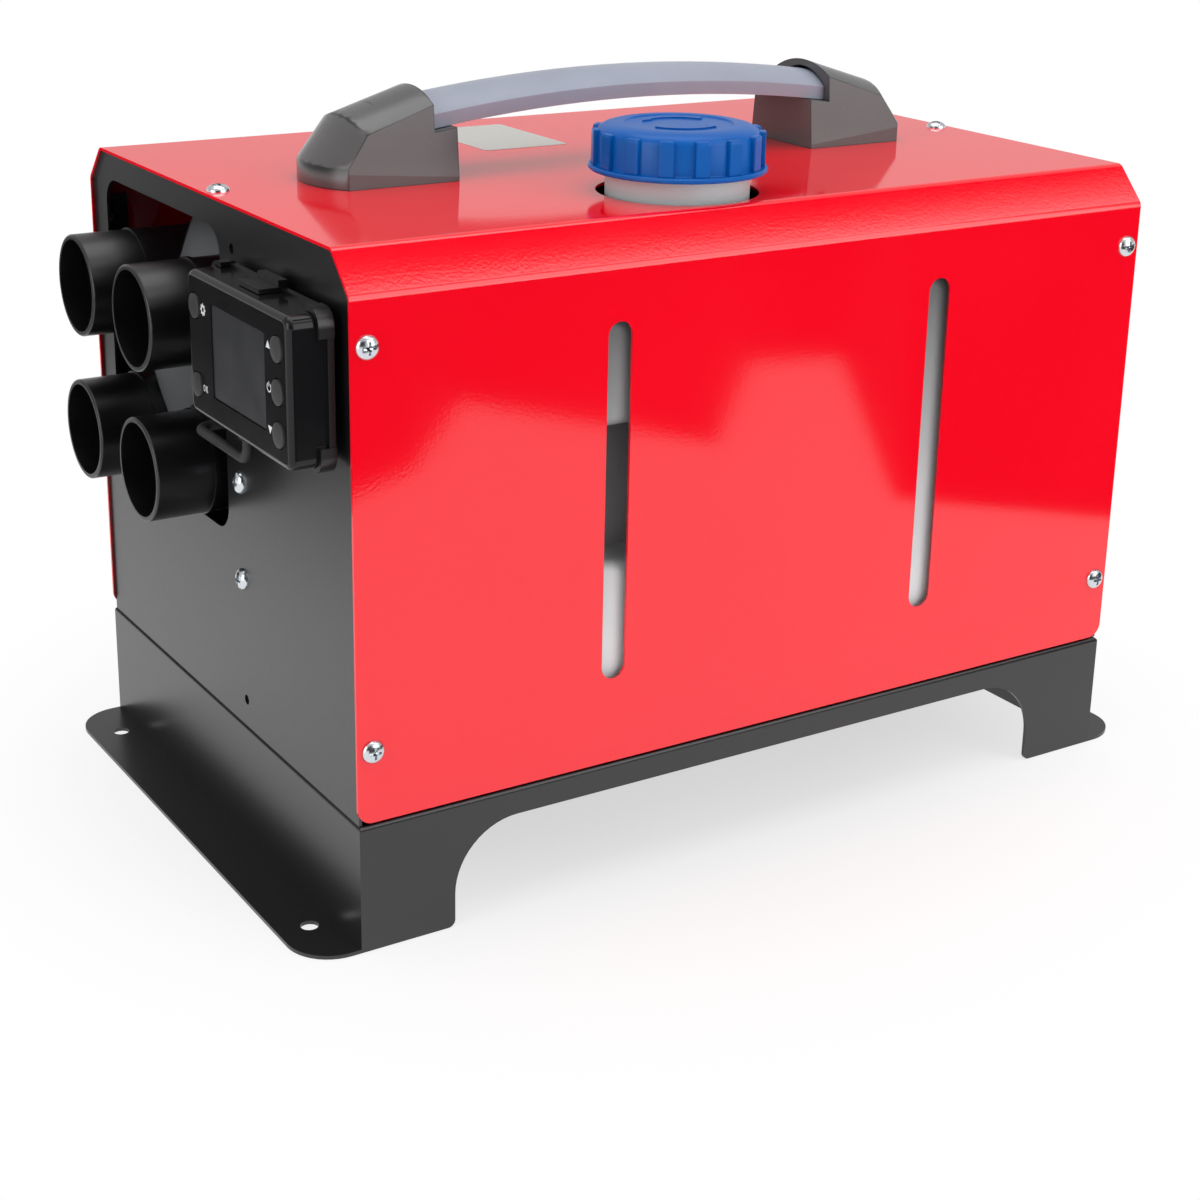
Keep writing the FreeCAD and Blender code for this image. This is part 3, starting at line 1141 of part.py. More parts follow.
# Display cable: leaves the rear case below, loops under it and enters the cabinet beside the ducts
cable_x = display_back - 3.5
plug_y = display_y + 17.0
plug_low = display_z - display_height / 2 - 6.0
inside_y = divider_back + heater_gap / 2
cable_z = plug_low - 8.0
lane_y = cutout_y - cutout_half_y + cable_radius + 4.0
plug = block(display_back - 5.3, display_back - display_wall - 0.2, plug_y - 4.8, plug_y + 4.8, plug_low,
             display_z - display_height / 2 + display_wall)
tail = swept([(cable_x, plug_y, plug_low + 2), (cable_x, plug_y, cable_z), (cable_x, lane_y, cable_z),
              (-panel_back + 4, lane_y, cable_z), (-panel_back + 15, inside_y, cable_z),
              (shell_left + 20, inside_y, cable_z)], 6.0, cable_radius)
socket = block(shell_left + 16, shell_left + 34, inside_y - 3, heater_front, cable_z - 5, cable_z + 5)
parts["controller_cable"] = joined([plug, tail, socket])

for name, shape in parts.items():
    shape.exportStep(f"parts/{name}.step")
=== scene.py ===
import math

import bmesh
import bpy
from mathutils import Matrix, Vector


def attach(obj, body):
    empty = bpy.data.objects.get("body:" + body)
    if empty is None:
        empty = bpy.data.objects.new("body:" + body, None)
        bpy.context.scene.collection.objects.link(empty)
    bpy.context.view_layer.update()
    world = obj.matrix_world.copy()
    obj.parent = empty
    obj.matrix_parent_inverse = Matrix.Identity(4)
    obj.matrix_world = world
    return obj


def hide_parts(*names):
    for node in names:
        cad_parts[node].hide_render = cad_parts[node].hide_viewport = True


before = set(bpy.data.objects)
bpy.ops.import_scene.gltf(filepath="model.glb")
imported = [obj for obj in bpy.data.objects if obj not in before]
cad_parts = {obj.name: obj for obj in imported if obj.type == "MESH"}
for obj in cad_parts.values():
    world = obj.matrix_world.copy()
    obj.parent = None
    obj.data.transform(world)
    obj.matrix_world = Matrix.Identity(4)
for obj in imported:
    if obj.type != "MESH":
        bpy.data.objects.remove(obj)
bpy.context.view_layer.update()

# Base frame, end panels, divider and shelf: folded steel sheet in satin black powder coat.
# The coat is baked on in one go, so it is even, with a very fine pebbled skin.
MM = 0.001


class Value:
    """One output in a material's nodes, with Python operators for its maths."""

    def __init__(self, finish, socket):
        self.finish = finish
        self.socket = socket

    def maths(self, operation, first, second):
        return self.finish.add("ShaderNodeMath", {"operation": operation}, {0: first, 1: second})

    def __add__(self, other):
        return self.maths("ADD", self, other)

    def __sub__(self, other):
        return self.maths("SUBTRACT", self, other)

    def __rsub__(self, other):
        return self.maths("SUBTRACT", other, self)

    def __mul__(self, other):
        return self.maths("MULTIPLY", self, other)

    def __abs__(self):
        return self.maths("ABSOLUTE", self, 0.0)

    __radd__ = __add__
    __rmul__ = __mul__


class Finish:
    """One material: its nodes are added here and its surface is set here."""

    def __init__(self, name, **constants):
        self.material = bpy.data.materials.new(name)
        self.material.use_nodes = True
        self.nodes = self.material.node_tree
        self.shader = self.nodes.nodes["Principled BSDF"]
        self.place = self.add("ShaderNodeTexCoord", {}, {}, "Object")
        self.surface(**constants)

    def feed(self, socket, value):
        if isinstance(value, Value):
            self.nodes.links.new(value.socket, socket)
        else:
            socket.default_value = value

    def add(self, kind, settings, values, output=0):
        node = self.nodes.nodes.new(kind)
        for key, value in settings.items():
            setattr(node, key, value)
        for key, value in values.items():
            self.feed(node.inputs[key], value)
        return Value(self, node.outputs[output])

    def noise(self, scale, detail=2.0):
        values = {"Vector": self.place, "Scale": scale, "Detail": detail}
        return self.add("ShaderNodeTexNoise", {}, values, "Fac")

    def along(self, axis):
        return self.add("ShaderNodeSeparateXYZ", {}, {0: self.place}, axis)

    def ramp(self, value, first, last, low=0.0, high=1.0, curve="LINEAR"):
        ends = {"Value": value, "From Min": first, "From Max": last, "To Min": low, "To Max": high}
        return self.add("ShaderNodeMapRange", {"interpolation_type": curve}, ends)

    def blend(self, share, first, second):
        colour_a, colour_b, colour_out = 6, 7, 2
        settings = {"data_type": "RGBA", "clamp_factor": True}
        values = {"Factor": share, colour_a: (*first, 1.0), colour_b: (*second, 1.0)}
        return self.add("ShaderNodeMix", settings, values, colour_out)

    def relief(self, height, strength, depth):
        values = {"Height": height, "Strength": strength, "Distance": depth}
        return self.add("ShaderNodeBump", {}, values)

    def surface(self, **values):
        for key, value in values.items():
            self.feed(self.shader.inputs[key.replace("_", " ")], value)


def dress(finish, *names):
    """Gives pieces of the frame one material."""
    for name in names:
        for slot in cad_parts[name].material_slots:
            slot.material = finish.material


powder_black = Finish("powder_black", IOR=1.6, Specular_IOR_Level=0.6)
pebble = powder_black.noise(900.0, 3.0)
cloud = powder_black.noise(14.0)
powder_black.surface(
    Base_Color=powder_black.blend(cloud, (0.004, 0.004, 0.005), (0.007, 0.007, 0.008)),
    Roughness=0.25 + 0.10 * pebble,
    Normal=powder_black.relief(pebble, 0.12, 0.10 * MM),
)
dress(powder_black, "base_frame", "left_end_panel", "right_end_panel", "divider_plate", "heater_shelf")

# Outer cover: one steel sheet folded over front, top and back and sprayed in gloss red enamel.
# The enamel flows out before it is baked and leaves a shallow orange peel.
# The side that faces the cabinet is painted a darker red, as painted shade for the shadow inside the cover.
red_enamel = Finish("red_enamel", IOR=1.5, Specular_IOR_Level=0.85)
cover_middle, side_change = (0.0, 0.0, 150.0 * MM), 2.0 * MM
# The first red is painted shade for the inside of the cover; the second is the enamel's own red.
inside_shade_red, outside_red = (0.25, 0.000, 0.004), (0.97, 0.000, 0.013)
peel = red_enamel.noise(850.0, 1.0)
cloud = red_enamel.noise(9.0)
from_middle = red_enamel.add("ShaderNodeVectorMath", {"operation": "SUBTRACT"},
                             {0: red_enamel.place, 1: cover_middle})
sheet_normal = red_enamel.add("ShaderNodeNewGeometry", {}, {}, "Normal")
outward = red_enamel.add("ShaderNodeVectorMath", {"operation": "DOT_PRODUCT"},
                         {0: from_middle, 1: sheet_normal}, "Value")
outside = red_enamel.ramp(outward, -side_change, side_change)
red_enamel.surface(
    Base_Color=red_enamel.blend(outside * (0.9 + 0.1 * cloud), inside_shade_red, outside_red),
    Roughness=0.05 + 0.04 * cloud,
    Normal=red_enamel.relief(peel, 0.15, 0.06 * MM),
)
dress(red_enamel, "outer_cover")

# Screws: zinc plated pan heads with a cross recess, driven into the end panels, trim and deck.
# Heads on the cover hold the red sheet to the bent edges of both end panels.
# The bolts and the tank's straps have the same plating.
bright_zinc = Finish("bright_zinc", Metallic=1.0)
brushed = bright_zinc.noise(1500.0, 4.0)
bright_zinc.surface(
    Base_Color=bright_zinc.blend(brushed, (0.62, 0.66, 0.70), (0.76, 0.80, 0.84)),
    Roughness=0.16 + 0.10 * brushed,
    Normal=bright_zinc.relief(brushed, 0.03, 0.03 * MM),
)


def open_tree(name, inputs, output):
    """A Geometry Nodes tree with named inputs, and the identifiers of those inputs."""
    tree = bpy.data.node_groups.new(name, "GeometryNodeTree")
    identifiers = {}
    for label, kind in inputs.items():
        socket = tree.interface.new_socket(label, in_out="INPUT", socket_type="NodeSocket" + kind)
        identifiers[label] = socket.identifier
    tree.interface.new_socket(output, in_out="OUTPUT", socket_type="NodeSocketGeometry")
    return tree, identifiers


def step(tree, kind, settings, sockets):
    """One node in a tree, with its settings and the links or values of its sockets."""
    node = tree.nodes.new(kind)
    for key, value in settings.items():
        setattr(node, key, value)
    for key, value in sockets.items():
        for source in value if isinstance(value, list) else [value]:
            if isinstance(source, bpy.types.NodeSocket):
                tree.links.new(source, node.inputs[key])
            else:
                node.inputs[key].default_value = source
    return node


def shown(name, mesh, sharp_angle):
    """A mesh as a smooth shaded object, with sharp edges past an angle."""
    mesh.name = name
    mesh.polygons.foreach_set("use_smooth", [True] * len(mesh.polygons))
    mesh.set_sharp_from_angle(angle=math.radians(sharp_angle))
    piece = bpy.data.objects.new(name, mesh)
    bpy.context.collection.objects.link(piece)
    return piece


def grown(name, mesh, tree, identifiers, values, sharp_angle):
    """A tree's result on a mesh, as a plain smooth shaded mesh in a new object."""
    holder = bpy.data.objects.new(name + "_holder", mesh)
    bpy.context.collection.objects.link(holder)
    modifier = holder.modifiers.new(tree.name, "NODES")
    modifier.node_group = tree
    for label, value in values.items():
        modifier[identifiers[label]] = value
    graph = bpy.context.evaluated_depsgraph_get()
    result = bpy.data.meshes.new_from_object(holder.evaluated_get(graph))
    bpy.data.objects.remove(holder)
    return shown(name, result, sharp_angle)


screw_tree, screw_inputs = open_tree("screw_heads", {
    "Places": "Geometry", "Head Radius": "Float", "Head Height": "Float", "Finish": "Material"}, "Heads")
cross_length, cross_width, cross_bottom = 1.06, 0.22, 0.40
lower_half = (3.0, 3.0, -1.0)
head_cuts = (lower_half, (cross_length, cross_width, cross_bottom),
             (cross_width, cross_length, cross_bottom))
given = step(screw_tree, "NodeGroupInput", {}, {})
ball = step(screw_tree, "GeometryNodeMeshUVSphere", {}, {"Segments": 40, "Rings": 20, "Radius": 1.0})
head_size = step(screw_tree, "ShaderNodeCombineXYZ", {}, {
    "X": given.outputs["Head Radius"], "Y": given.outputs["Head Radius"],
    "Z": given.outputs["Head Height"]})
head_ball = step(screw_tree, "GeometryNodeTransform", {}, {
    "Geometry": ball.outputs[0], "Scale": head_size.outputs[0]})
cutters = []
for length, width, bottom in head_cuts:
    block = step(screw_tree, "GeometryNodeMeshCube", {}, {"Size": (length, width, 1.0)})
    lifted = step(screw_tree, "GeometryNodeTransform", {}, {
        "Geometry": block.outputs[0], "Translation": (0, 0, bottom + 0.5)})
    sized = step(screw_tree, "GeometryNodeTransform", {}, {
        "Geometry": lifted.outputs[0], "Scale": head_size.outputs[0]})
    cutters.append(sized.outputs[0])
cut_head = step(screw_tree, "GeometryNodeMeshBoolean", {"operation": "DIFFERENCE"}, {
    "Mesh 1": head_ball.outputs[0], "Mesh 2": cutters})
facing = step(screw_tree, "GeometryNodeInputNamedAttribute", {"data_type": "FLOAT_VECTOR"}, {
    "Name": "facing"})
turn = step(screw_tree, "FunctionNodeAlignRotationToVector", {"axis": "Z"}, {"Vector": facing.outputs[0]})
heads = step(screw_tree, "GeometryNodeInstanceOnPoints", {}, {
    "Points": given.outputs["Places"], "Instance": cut_head.outputs[0], "Rotation": turn.outputs[0]})
real = step(screw_tree, "GeometryNodeRealizeInstances", {}, {"Geometry": heads.outputs[0]})
coated = step(screw_tree, "GeometryNodeSetMaterial", {}, {
    "Geometry": real.outputs[0], "Material": given.outputs["Finish"]})
step(screw_tree, "NodeGroupOutput", {}, {"Heads": coated.outputs[0]})


def screw_heads(name, node, places, radius, height):
    """Heads at places given in millimetres, each with the way it faces."""
    mesh = bpy.data.meshes.new(name + "_places")
    mesh.from_pydata([Vector(place) * MM for place, axis in places], [], [])
    axes = mesh.attributes.new("facing", "FLOAT_VECTOR", "POINT")
    axes.data.foreach_set("vector", [part for place, axis in places for part in axis])
    values = {"Head Radius": radius * MM, "Head Height": height * MM, "Finish": bright_zinc.material}
    piece = grown(name, mesh, screw_tree, screw_inputs, values, 30)
    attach(piece, "housing")
    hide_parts(node)


half_length, half_depth, cover_top, base_height = 185.0, 126.0, 264.0, 51.5
large_head, small_head = (4.5, 2.6), (3.6, 2.0)
cover_screw_edge, cover_screw_heights = 6.4, (231.5, 80.8)
cover_screw_x = half_length - cover_screw_edge
cover_places = [((side * cover_screw_x, face * half_depth, z), (0, face, 0))
                for side in (-1, 1) for face in (-1, 1) for z in cover_screw_heights]
cover_places += [((side * cover_screw_x, 0, cover_top), (0, 0, 1)) for side in (-1, 1)]
screw_heads("cover_screw_heads", "cover_screws", cover_places, *large_head)
panel_face, divider_screw_y, panel_screw_heights = 184.0, -24.0, (63.0, 103.1)
panel_places = [((side * panel_face, divider_screw_y, base_height + z), (side, 0, 0))
                for side in (-1, 1) for z in panel_screw_heights]
screw_heads("panel_screw_heads", "end_panel_screws", panel_places, *large_head)
heater_y, heater_z, trim_face, trim_spread = 47.15, 183.2, 187.0, 33.75
trim_places = [((trim_face, heater_y + aside * trim_spread, heater_z + above * trim_spread), (1, 0, 0))
               for aside in (-1, 1) for above in (-1, 1)]
screw_heads("trim_screw_heads", "trim_screws", trim_places, *small_head)
dress(bright_zinc, "base_screws", "bracket_screws", "handle_bolts", "heater_bolts", "tank_straps")

# Fuel tank: blow moulded in milky white polyethylene, seen at the filler and through the slots.
# The mould leaves a soft waxy skin with faint flow marks, and the walls let some light in.
# The walls are painted greyer towards the top of the tank, as painted shade where less light reaches in
# behind the cover, and pale again at the neck.
milky_white = Finish("milky_white", Subsurface_Weight=0.15, Subsurface_Radius=(0.02, 0.02, 0.02),
                     Subsurface_Scale=0.2)
# The grey towards the top of the tank is painted shade; the neck is lifted back out of it.
shade_full_height, shade_free_height = 232.0 * MM, 95.0 * MM
neck_low, neck_high, neck_white = 240.0 * MM, 245.0 * MM, 0.72
flow = milky_white.noise(35.0, 4.0)
wax = milky_white.noise(700.0)
tank_height = milky_white.along("Z")
unshaded_share = milky_white.ramp(tank_height, shade_full_height, shade_free_height)
unshaded_share = unshaded_share + milky_white.ramp(tank_height, neck_low, neck_high, 0.0, neck_white)
milky_white.surface(
    Base_Color=milky_white.blend(unshaded_share + 0.08 * flow, (0.08, 0.085, 0.09), (0.78, 0.81, 0.82)),
    Roughness=0.38 + 0.14 * flow,
    Normal=milky_white.relief(wax, 0.12, 0.1 * MM),
)
dress(milky_white, "fuel_tank")


def soften(width, *names):
    """Welds a piece's faces together and rounds its sharp edges."""
    weld_gap, sharp_angle, round_segments = 0.005 * MM, 40, 3
    for name in names:
        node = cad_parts[name]
        weld = node.modifiers.new("weld", "WELD")
        weld.merge_threshold = weld_gap
        bevel = node.modifiers.new("soft_edges", "BEVEL")
        bevel.width = width
        bevel.segments = round_segments
        bevel.limit_method = "ANGLE"
        bevel.angle_limit = math.radians(sharp_angle)
        bevel.harden_normals = False


soften(0.8 * MM, "fuel_tank")

# Filler cap: blue gloss moulding with a rim, finger ribs and raised turning arrows on its top.
# It screws down on the tank's neck over a soft seal.
cap_blue = Finish("cap_blue", Specular_IOR_Level=0.25)
sheen = cap_blue.noise(60.0, 3.0)
skin = cap_blue.noise(1100.0)
cap_blue.surface(
    Base_Color=cap_blue.blend(sheen, (0.000, 0.090, 0.38), (0.000, 0.112, 0.45)),
    Roughness=0.24 + 0.14 * sheen,
    Normal=cap_blue.relief(skin, 0.06, 0.08 * MM),
)
filler_x, filler_y, cap_bottom, cap_top = -20.0, -77.75, 272.5, 290.5
cap_wall, cap_bore, cap_roof_under, rim_radius = 32.0, 29.9, 287.5, 35.0
merge_gap = 0.001 * MM


def finished(name, shape, finish, sharp_angle):
    """A bmesh turned into a smooth shaded object with one material."""
    mesh = bpy.data.meshes.new(name)
    shape.to_mesh(mesh)
    shape.free()
    mesh.materials.append(finish.material)
    return shown(name, mesh, sharp_angle)


def lathed(name, profile, centre, finish, sharp_angle, steps=120):
    """A closed outline of radius and height turned about an upright axis."""
    shape = bmesh.new()
    rings = []
    for index in range(steps):
        angle = 2 * math.pi * index / steps
        rings.append([shape.verts.new(((centre[0] + radius * math.cos(angle)) * MM,
                                       (centre[1] + radius * math.sin(angle)) * MM, height * MM))
                      for radius, height in profile])
    count = len(profile)
    for ring, following in zip(rings, rings[1:] + rings[:1]):
        for index in range(count):
            ahead = (index + 1) % count
            shape.faces.new((ring[index], following[index], following[ahead], ring[ahead]))
    bmesh.ops.remove_doubles(shape, verts=shape.verts, dist=merge_gap)
    bmesh.ops.recalc_face_normals(shape, faces=shape.faces)
    return finished(name, shape, finish, sharp_angle)


cap_profile = [
    (0.0, cap_top - 0.6), (20.6, cap_top - 0.6), (21.2, cap_top), (24.4, cap_top), (26.6, cap_top - 0.35),
    (29.0, cap_top - 1.0), (30.6, cap_top - 1.9), (31.6, cap_top - 3.0), (cap_wall, cap_top - 4.4),
    (cap_wall, cap_bottom + 2.6), (cap_wall + 0.4, cap_bottom + 2.1), (rim_radius - 0.6, cap_bottom + 2.0),
    (rim_radius, cap_bottom + 1.4), (rim_radius, cap_bottom + 0.5), (rim_radius - 0.5, cap_bottom),
    (cap_bore + 0.4, cap_bottom), (cap_bore, cap_bottom + 0.4), (cap_bore, cap_roof_under),
    (0.0, cap_roof_under),
]
cap_shell = lathed("cap_shell", cap_profile, (filler_x, filler_y), cap_blue, 32)
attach(cap_shell, "cap")
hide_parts("filler_cap")
rib_tree, rib_inputs = open_tree("cap_ribs", {
    "Geometry": "Geometry", "Count": "Int", "Ring Radius": "Float", "Rib Size": "Vector",
    "Centre": "Vector", "Turn": "Vector", "Finish": "Material"}, "Ribs")
given = step(rib_tree, "NodeGroupInput", {}, {})
ring = step(rib_tree, "GeometryNodeMeshCircle", {}, {
    "Vertices": given.outputs["Count"], "Radius": given.outputs["Ring Radius"]})
where = step(rib_tree, "GeometryNodeInputPosition", {}, {})
spoke = step(rib_tree, "FunctionNodeAlignRotationToVector", {"axis": "X", "pivot_axis": "Z"}, {
    "Vector": where.outputs[0]})
block = step(rib_tree, "GeometryNodeMeshCube", {}, {
    "Size": (1, 1, 1), "Vertices X": 3, "Vertices Y": 3, "Vertices Z": 3})
soft_block = step(rib_tree, "GeometryNodeSubdivisionSurface", {}, {
    "Mesh": block.outputs[0], "Level": 2, "Edge Crease": 0.55})
sized = step(rib_tree, "GeometryNodeTransform", {}, {
    "Geometry": soft_block.outputs[0], "Scale": given.outputs["Rib Size"]})
ribs = step(rib_tree, "GeometryNodeInstanceOnPoints", {}, {
    "Points": ring.outputs[0], "Instance": sized.outputs[0], "Rotation": spoke.outputs[0]})
real = step(rib_tree, "GeometryNodeRealizeInstances", {}, {"Geometry": ribs.outputs[0]})
placed = step(rib_tree, "GeometryNodeTransform", {}, {
    "Geometry": real.outputs[0], "Translation": given.outputs["Centre"], "Rotation": given.outputs["Turn"]})
coated = step(rib_tree, "GeometryNodeSetMaterial", {}, {
    "Geometry": placed.outputs[0], "Material": given.outputs["Finish"]})
step(rib_tree, "NodeGroupOutput", {}, {"Ribs": coated.outputs[0]})
rib_count, rib_width, rib_reach, rib_sunk = 15, 5.8, 33.8, 1.0
rib_root, rib_low, rib_high = cap_wall - rib_sunk, cap_bottom + 1.6, cap_top - 2.4
cap_ribs = grown("cap_ribs", bpy.data.meshes.new("cap_rib_start"), rib_tree, rib_inputs, {
    "Count": rib_count,
    "Ring Radius": (rib_root + rib_reach) / 2 * MM,
    "Rib Size": ((rib_reach - rib_root) * MM, rib_width * MM, (rib_high - rib_low) * MM),
    "Centre": (filler_x * MM, filler_y * MM, (rib_low + rib_high) / 2 * MM),
    "Turn": (0.0, 0.0, math.pi / rib_count),
    "Finish": cap_blue.material,
}, 50)
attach(cap_ribs, "cap")


def arrow_band(shape, first, low, high):
    """A flat curved arrow on the cap's top, as a thick band with a pointed end."""
    inner, outer, sweep, head, steps = 13.0, 15.6, 95, 22, 16
    middle = (inner + outer) / 2
    wing = (outer - inner) * 0.9
    sections = [(inner, outer, first + sweep * index / steps) for index in range(steps + 1)]
    sections.append((middle - wing, middle + wing, first + sweep))
    sections.append((middle, middle, first + sweep + head))

    def point(radius, degrees, height):
        angle = math.radians(degrees)
        return shape.verts.new(((filler_x + radius * math.cos(angle)) * MM,
                                (filler_y + radius * math.sin(angle)) * MM, height * MM))

    rows = [[point(near, degrees, low), point(far, degrees, low),
             point(far, degrees, high), point(near, degrees, high)] for near, far, degrees in sections]
    for one, two in zip(rows, rows[1:]):
        for index in range(4):
            ahead = (index + 1) % 4
            shape.faces.new((one[index], two[index], two[ahead], one[ahead]))
    shape.faces.new(rows[0])


arrow_starts, arrow_sunk, arrow_proud = (20, 200), 0.8, 0.05
arrows = bmesh.new()
for start in arrow_starts:
    arrow_band(arrows, start, cap_top - arrow_sunk, cap_top + arrow_proud)
bmesh.ops.remove_doubles(arrows, verts=arrows.verts, dist=merge_gap)
bmesh.ops.recalc_face_normals(arrows, faces=arrows.faces)
cap_arrows = finished("cap_arrows", arrows, cap_blue, 30)
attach(cap_arrows, "cap")

# Rubber pieces: seal, hoses, pads, clamp, grommet, gasket and the display's cable.
# They are matt black with a slightly dusty bloom.
soft_black = Finish("soft_black", IOR=1.45)
bloom = soft_black.noise(120.0, 4.0)
soft_black.surface(
    Base_Color=soft_black.blend(bloom, (0.016, 0.016, 0.017), (0.040, 0.040, 0.042)),
    Roughness=0.55 + 0.2 * bloom,
    Normal=soft_black.relief(soft_black.noise(1600.0), 0.15, 0.08 * MM),
)
dress(soft_black, "cap_seal", "tank_pads", "pump_clamp", "fuel_hose_tank", "fuel_hose_filter",
      "fuel_hose_pump", "power_grommet", "heater_gasket", "controller_cable")

# Heater casing, inlet, fan wheel, control unit and display bracket: black moulded plastic.
# The moulds are spark eroded, so the skin is satin with a fine even grain.
moulded_black = Finish("moulded_black", IOR=1.6)
grain = moulded_black.noise(1300.0)
tone = moulded_black.noise(22.0)
moulded_black.surface(
    Base_Color=moulded_black.blend(tone, (0.002, 0.002, 0.003), (0.005, 0.005, 0.006)),
    Roughness=0.27 + 0.10 * grain,
    Normal=moulded_black.relief(grain, 0.14, 0.08 * MM),
)
dress(moulded_black, "heater_lower_shell", "heater_upper_shell", "inlet_duct", "inlet_grille",
      "inlet_trim", "fan_wheel", "control_unit", "controller_bracket")

# Outlet manifold: a cast grey dome with four black sleeves for the air ducts.
# The dome is whatever lies outside the sleeves' round walls.
manifold_grey = Finish("manifold_grey", IOR=1.6)
sleeve_y, sleeve_z, sleeve_radius, sleeve_edge = 31.35 * MM, 30.75 * MM, 23.2 * MM, 0.3 * MM
sleeve_black, dome_grey = (0.003, 0.003, 0.004), (0.085, 0.090, 0.096)
grain = manifold_grey.noise(1300.0)
across = abs(manifold_grey.along("Y") - heater_y * MM) - sleeve_y
above = abs(manifold_grey.along("Z") - heater_z * MM) - sleeve_z
from_sleeve = across * across + above * above
dome = manifold_grey.ramp(from_sleeve, sleeve_radius ** 2, (sleeve_radius + sleeve_edge) ** 2)
manifold_grey.surface(
    Base_Color=manifold_grey.blend(dome * (0.8 + 0.4 * grain), sleeve_black, dome_grey),
    Roughness=0.27 + 0.10 * grain + 0.22 * dome,
    Normal=manifold_grey.relief(grain, 0.14, 0.08 * MM),
)
dress(manifold_grey, "duct_manifold")

# Handle feet: thick black mouldings bolted through the cover, with crisp domed faces.
# The faces are painted grey as a painted sheen, and the narrow edges between them keep the plastic's own
# black.
foot_black = Finish("foot_black", IOR=1.6)
edge_line, edge_samples, edge_evenness, face_evenness = 0.75 * MM, 6, 0.962, 0.994
# The grey on the faces is a painted sheen; the black on the edges is the plastic's own colour.
edge_black, sheen_grey = (0.003, 0.003, 0.003), (0.082, 0.082, 0.084)
grain = foot_black.noise(950.0)
tone = foot_black.noise(30.0)
round_normal = foot_black.add("ShaderNodeBevel", {"samples": edge_samples}, {"Radius": edge_line})
flat_normal = foot_black.add("ShaderNodeNewGeometry", {}, {}, "True Normal")
evenness = foot_black.add("ShaderNodeVectorMath", {"operation": "DOT_PRODUCT"},
                          {0: round_normal, 1: flat_normal}, "Value")
sheen_share = foot_black.ramp(evenness, edge_evenness, face_evenness)
foot_black.surface(
    Base_Color=foot_black.blend(sheen_share * (0.8 + 0.3 * tone), edge_black, sheen_grey),
    Roughness=0.20 + 0.10 * grain,
    Normal=foot_black.relief(grain, 0.12, 0.08 * MM),
)
dress(foot_black, "handle_foot_left", "handle_foot_right")
soften(0.7 * MM, "handle_foot_left", "handle_foot_right")

# Grip: grey vinyl bar of D section, bent in a shallow arch between the feet.
# It is cloudy rather than clear, lets a little light in and has a soft shine along its crown.
clear_grey = Finish("clear_grey", Specular_IOR_Level=0.3, Subsurface_Weight=0.4,
                    Subsurface_Radius=(0.9, 0.95, 1.0), Subsurface_Scale=0.006)
streak = clear_grey.noise(28.0, 3.0)
clear_grey.surface(
    Base_Color=clear_grey.blend(streak, (0.28, 0.30, 0.37), (0.36, 0.39, 0.47)),
    Roughness=0.26 + 0.12 * streak,
    Normal=clear_grey.relief(clear_grey.noise(260.0), 0.05, 0.1 * MM),
)
dress(clear_grey, "handle_grip")
soften(0.9 * MM, "handle_grip")

# Metal insides: cast aluminium exchanger and blower, steel burner, motor, pump and pipes, brass outlet.
# Castings are grainy and pale, turned and drawn steel is smoother and darker.
cast_pale = Finish("cast_pale", Metallic=1.0)
sand = cast_pale.noise(800.0, 4.0)
cast_pale.surface(
    Base_Color=cast_pale.blend(sand, (0.48, 0.49, 0.50), (0.68, 0.69, 0.70)),
    Roughness=0.42 + 0.2 * sand,
    Normal=cast_pale.relief(sand, 0.3, 0.1 * MM),
)
dress(cast_pale, "heat_exchanger", "blower_housing", "combustion_impeller", "air_stub")
drawn_steel = Finish("drawn_steel", Metallic=1.0)
lines = drawn_steel.noise(420.0, 4.0)
drawn_steel.surface(
    Base_Color=drawn_steel.blend(lines, (0.42, 0.43, 0.44), (0.60, 0.61, 0.62)),
    Roughness=0.28 + 0.2 * lines,
    Normal=drawn_steel.relief(lines, 0.1, 0.05 * MM),
)
dress(drawn_steel, "burner_tube", "burner_fuel_pipe", "glow_plug", "blower_motor", "motor_shaft",
      "exhaust_stub", "fuel_pump")
turned_brass = Finish("turned_brass", Metallic=1.0)
lines = turned_brass.noise(600.0, 3.0)
turned_brass.surface(
    Base_Color=turned_brass.blend(lines, (0.62, 0.44, 0.17), (0.80, 0.62, 0.30)),
    Roughness=0.24 + 0.2 * lines,
)
dress(turned_brass, "tank_outlet")

# Fuel filter: a small moulded plastic cup in the fuel line between two hoses.
# It is pale and hazy.
clear_cup = Finish("clear_cup", IOR=1.49)
haze = clear_cup.noise(90.0, 3.0)
clear_cup.surface(
    Base_Color=clear_cup.blend(haze, (0.70, 0.72, 0.70), (0.82, 0.83, 0.81)),
    Roughness=0.18 + 0.15 * haze,
)
dress(clear_cup, "fuel_filter")

# Display unit: gloss black front and rear cases, a tinted window and a green board inside.
# The window is a sheet of dark grey film, a little greyer than the case round it.
display_black = Finish("display_black", IOR=1.5, Specular_IOR_Level=0.32)
wipe = display_black.noise(45.0, 3.0)
display_black.surface(
    Base_Color=display_black.blend(wipe, (0.005, 0.005, 0.006), (0.009, 0.009, 0.010)),
    Roughness=0.10 + 0.10 * wipe,
    Normal=display_black.relief(display_black.noise(500.0), 0.03, 0.05 * MM),
)
dress(display_black, "controller_front_case", "controller_rear_case")
window_grey = Finish("window_grey", IOR=1.5)
film = window_grey.noise(70.0, 3.0)
window_grey.surface(
    Base_Color=window_grey.blend(film, (0.028, 0.029, 0.031), (0.040, 0.041, 0.044)),
    Roughness=0.14 + 0.12 * film,
)
dress(window_grey, "controller_screen")
board_green = Finish("board_green", IOR=1.5)
tracks = board_green.noise(300.0, 1.0)
board_green.surface(
    Base_Color=board_green.blend(tracks, (0.008, 0.075, 0.030), (0.015, 0.13, 0.05)),
    Roughness=0.3 + 0.2 * tracks,
)
dress(board_green, "controller_board")

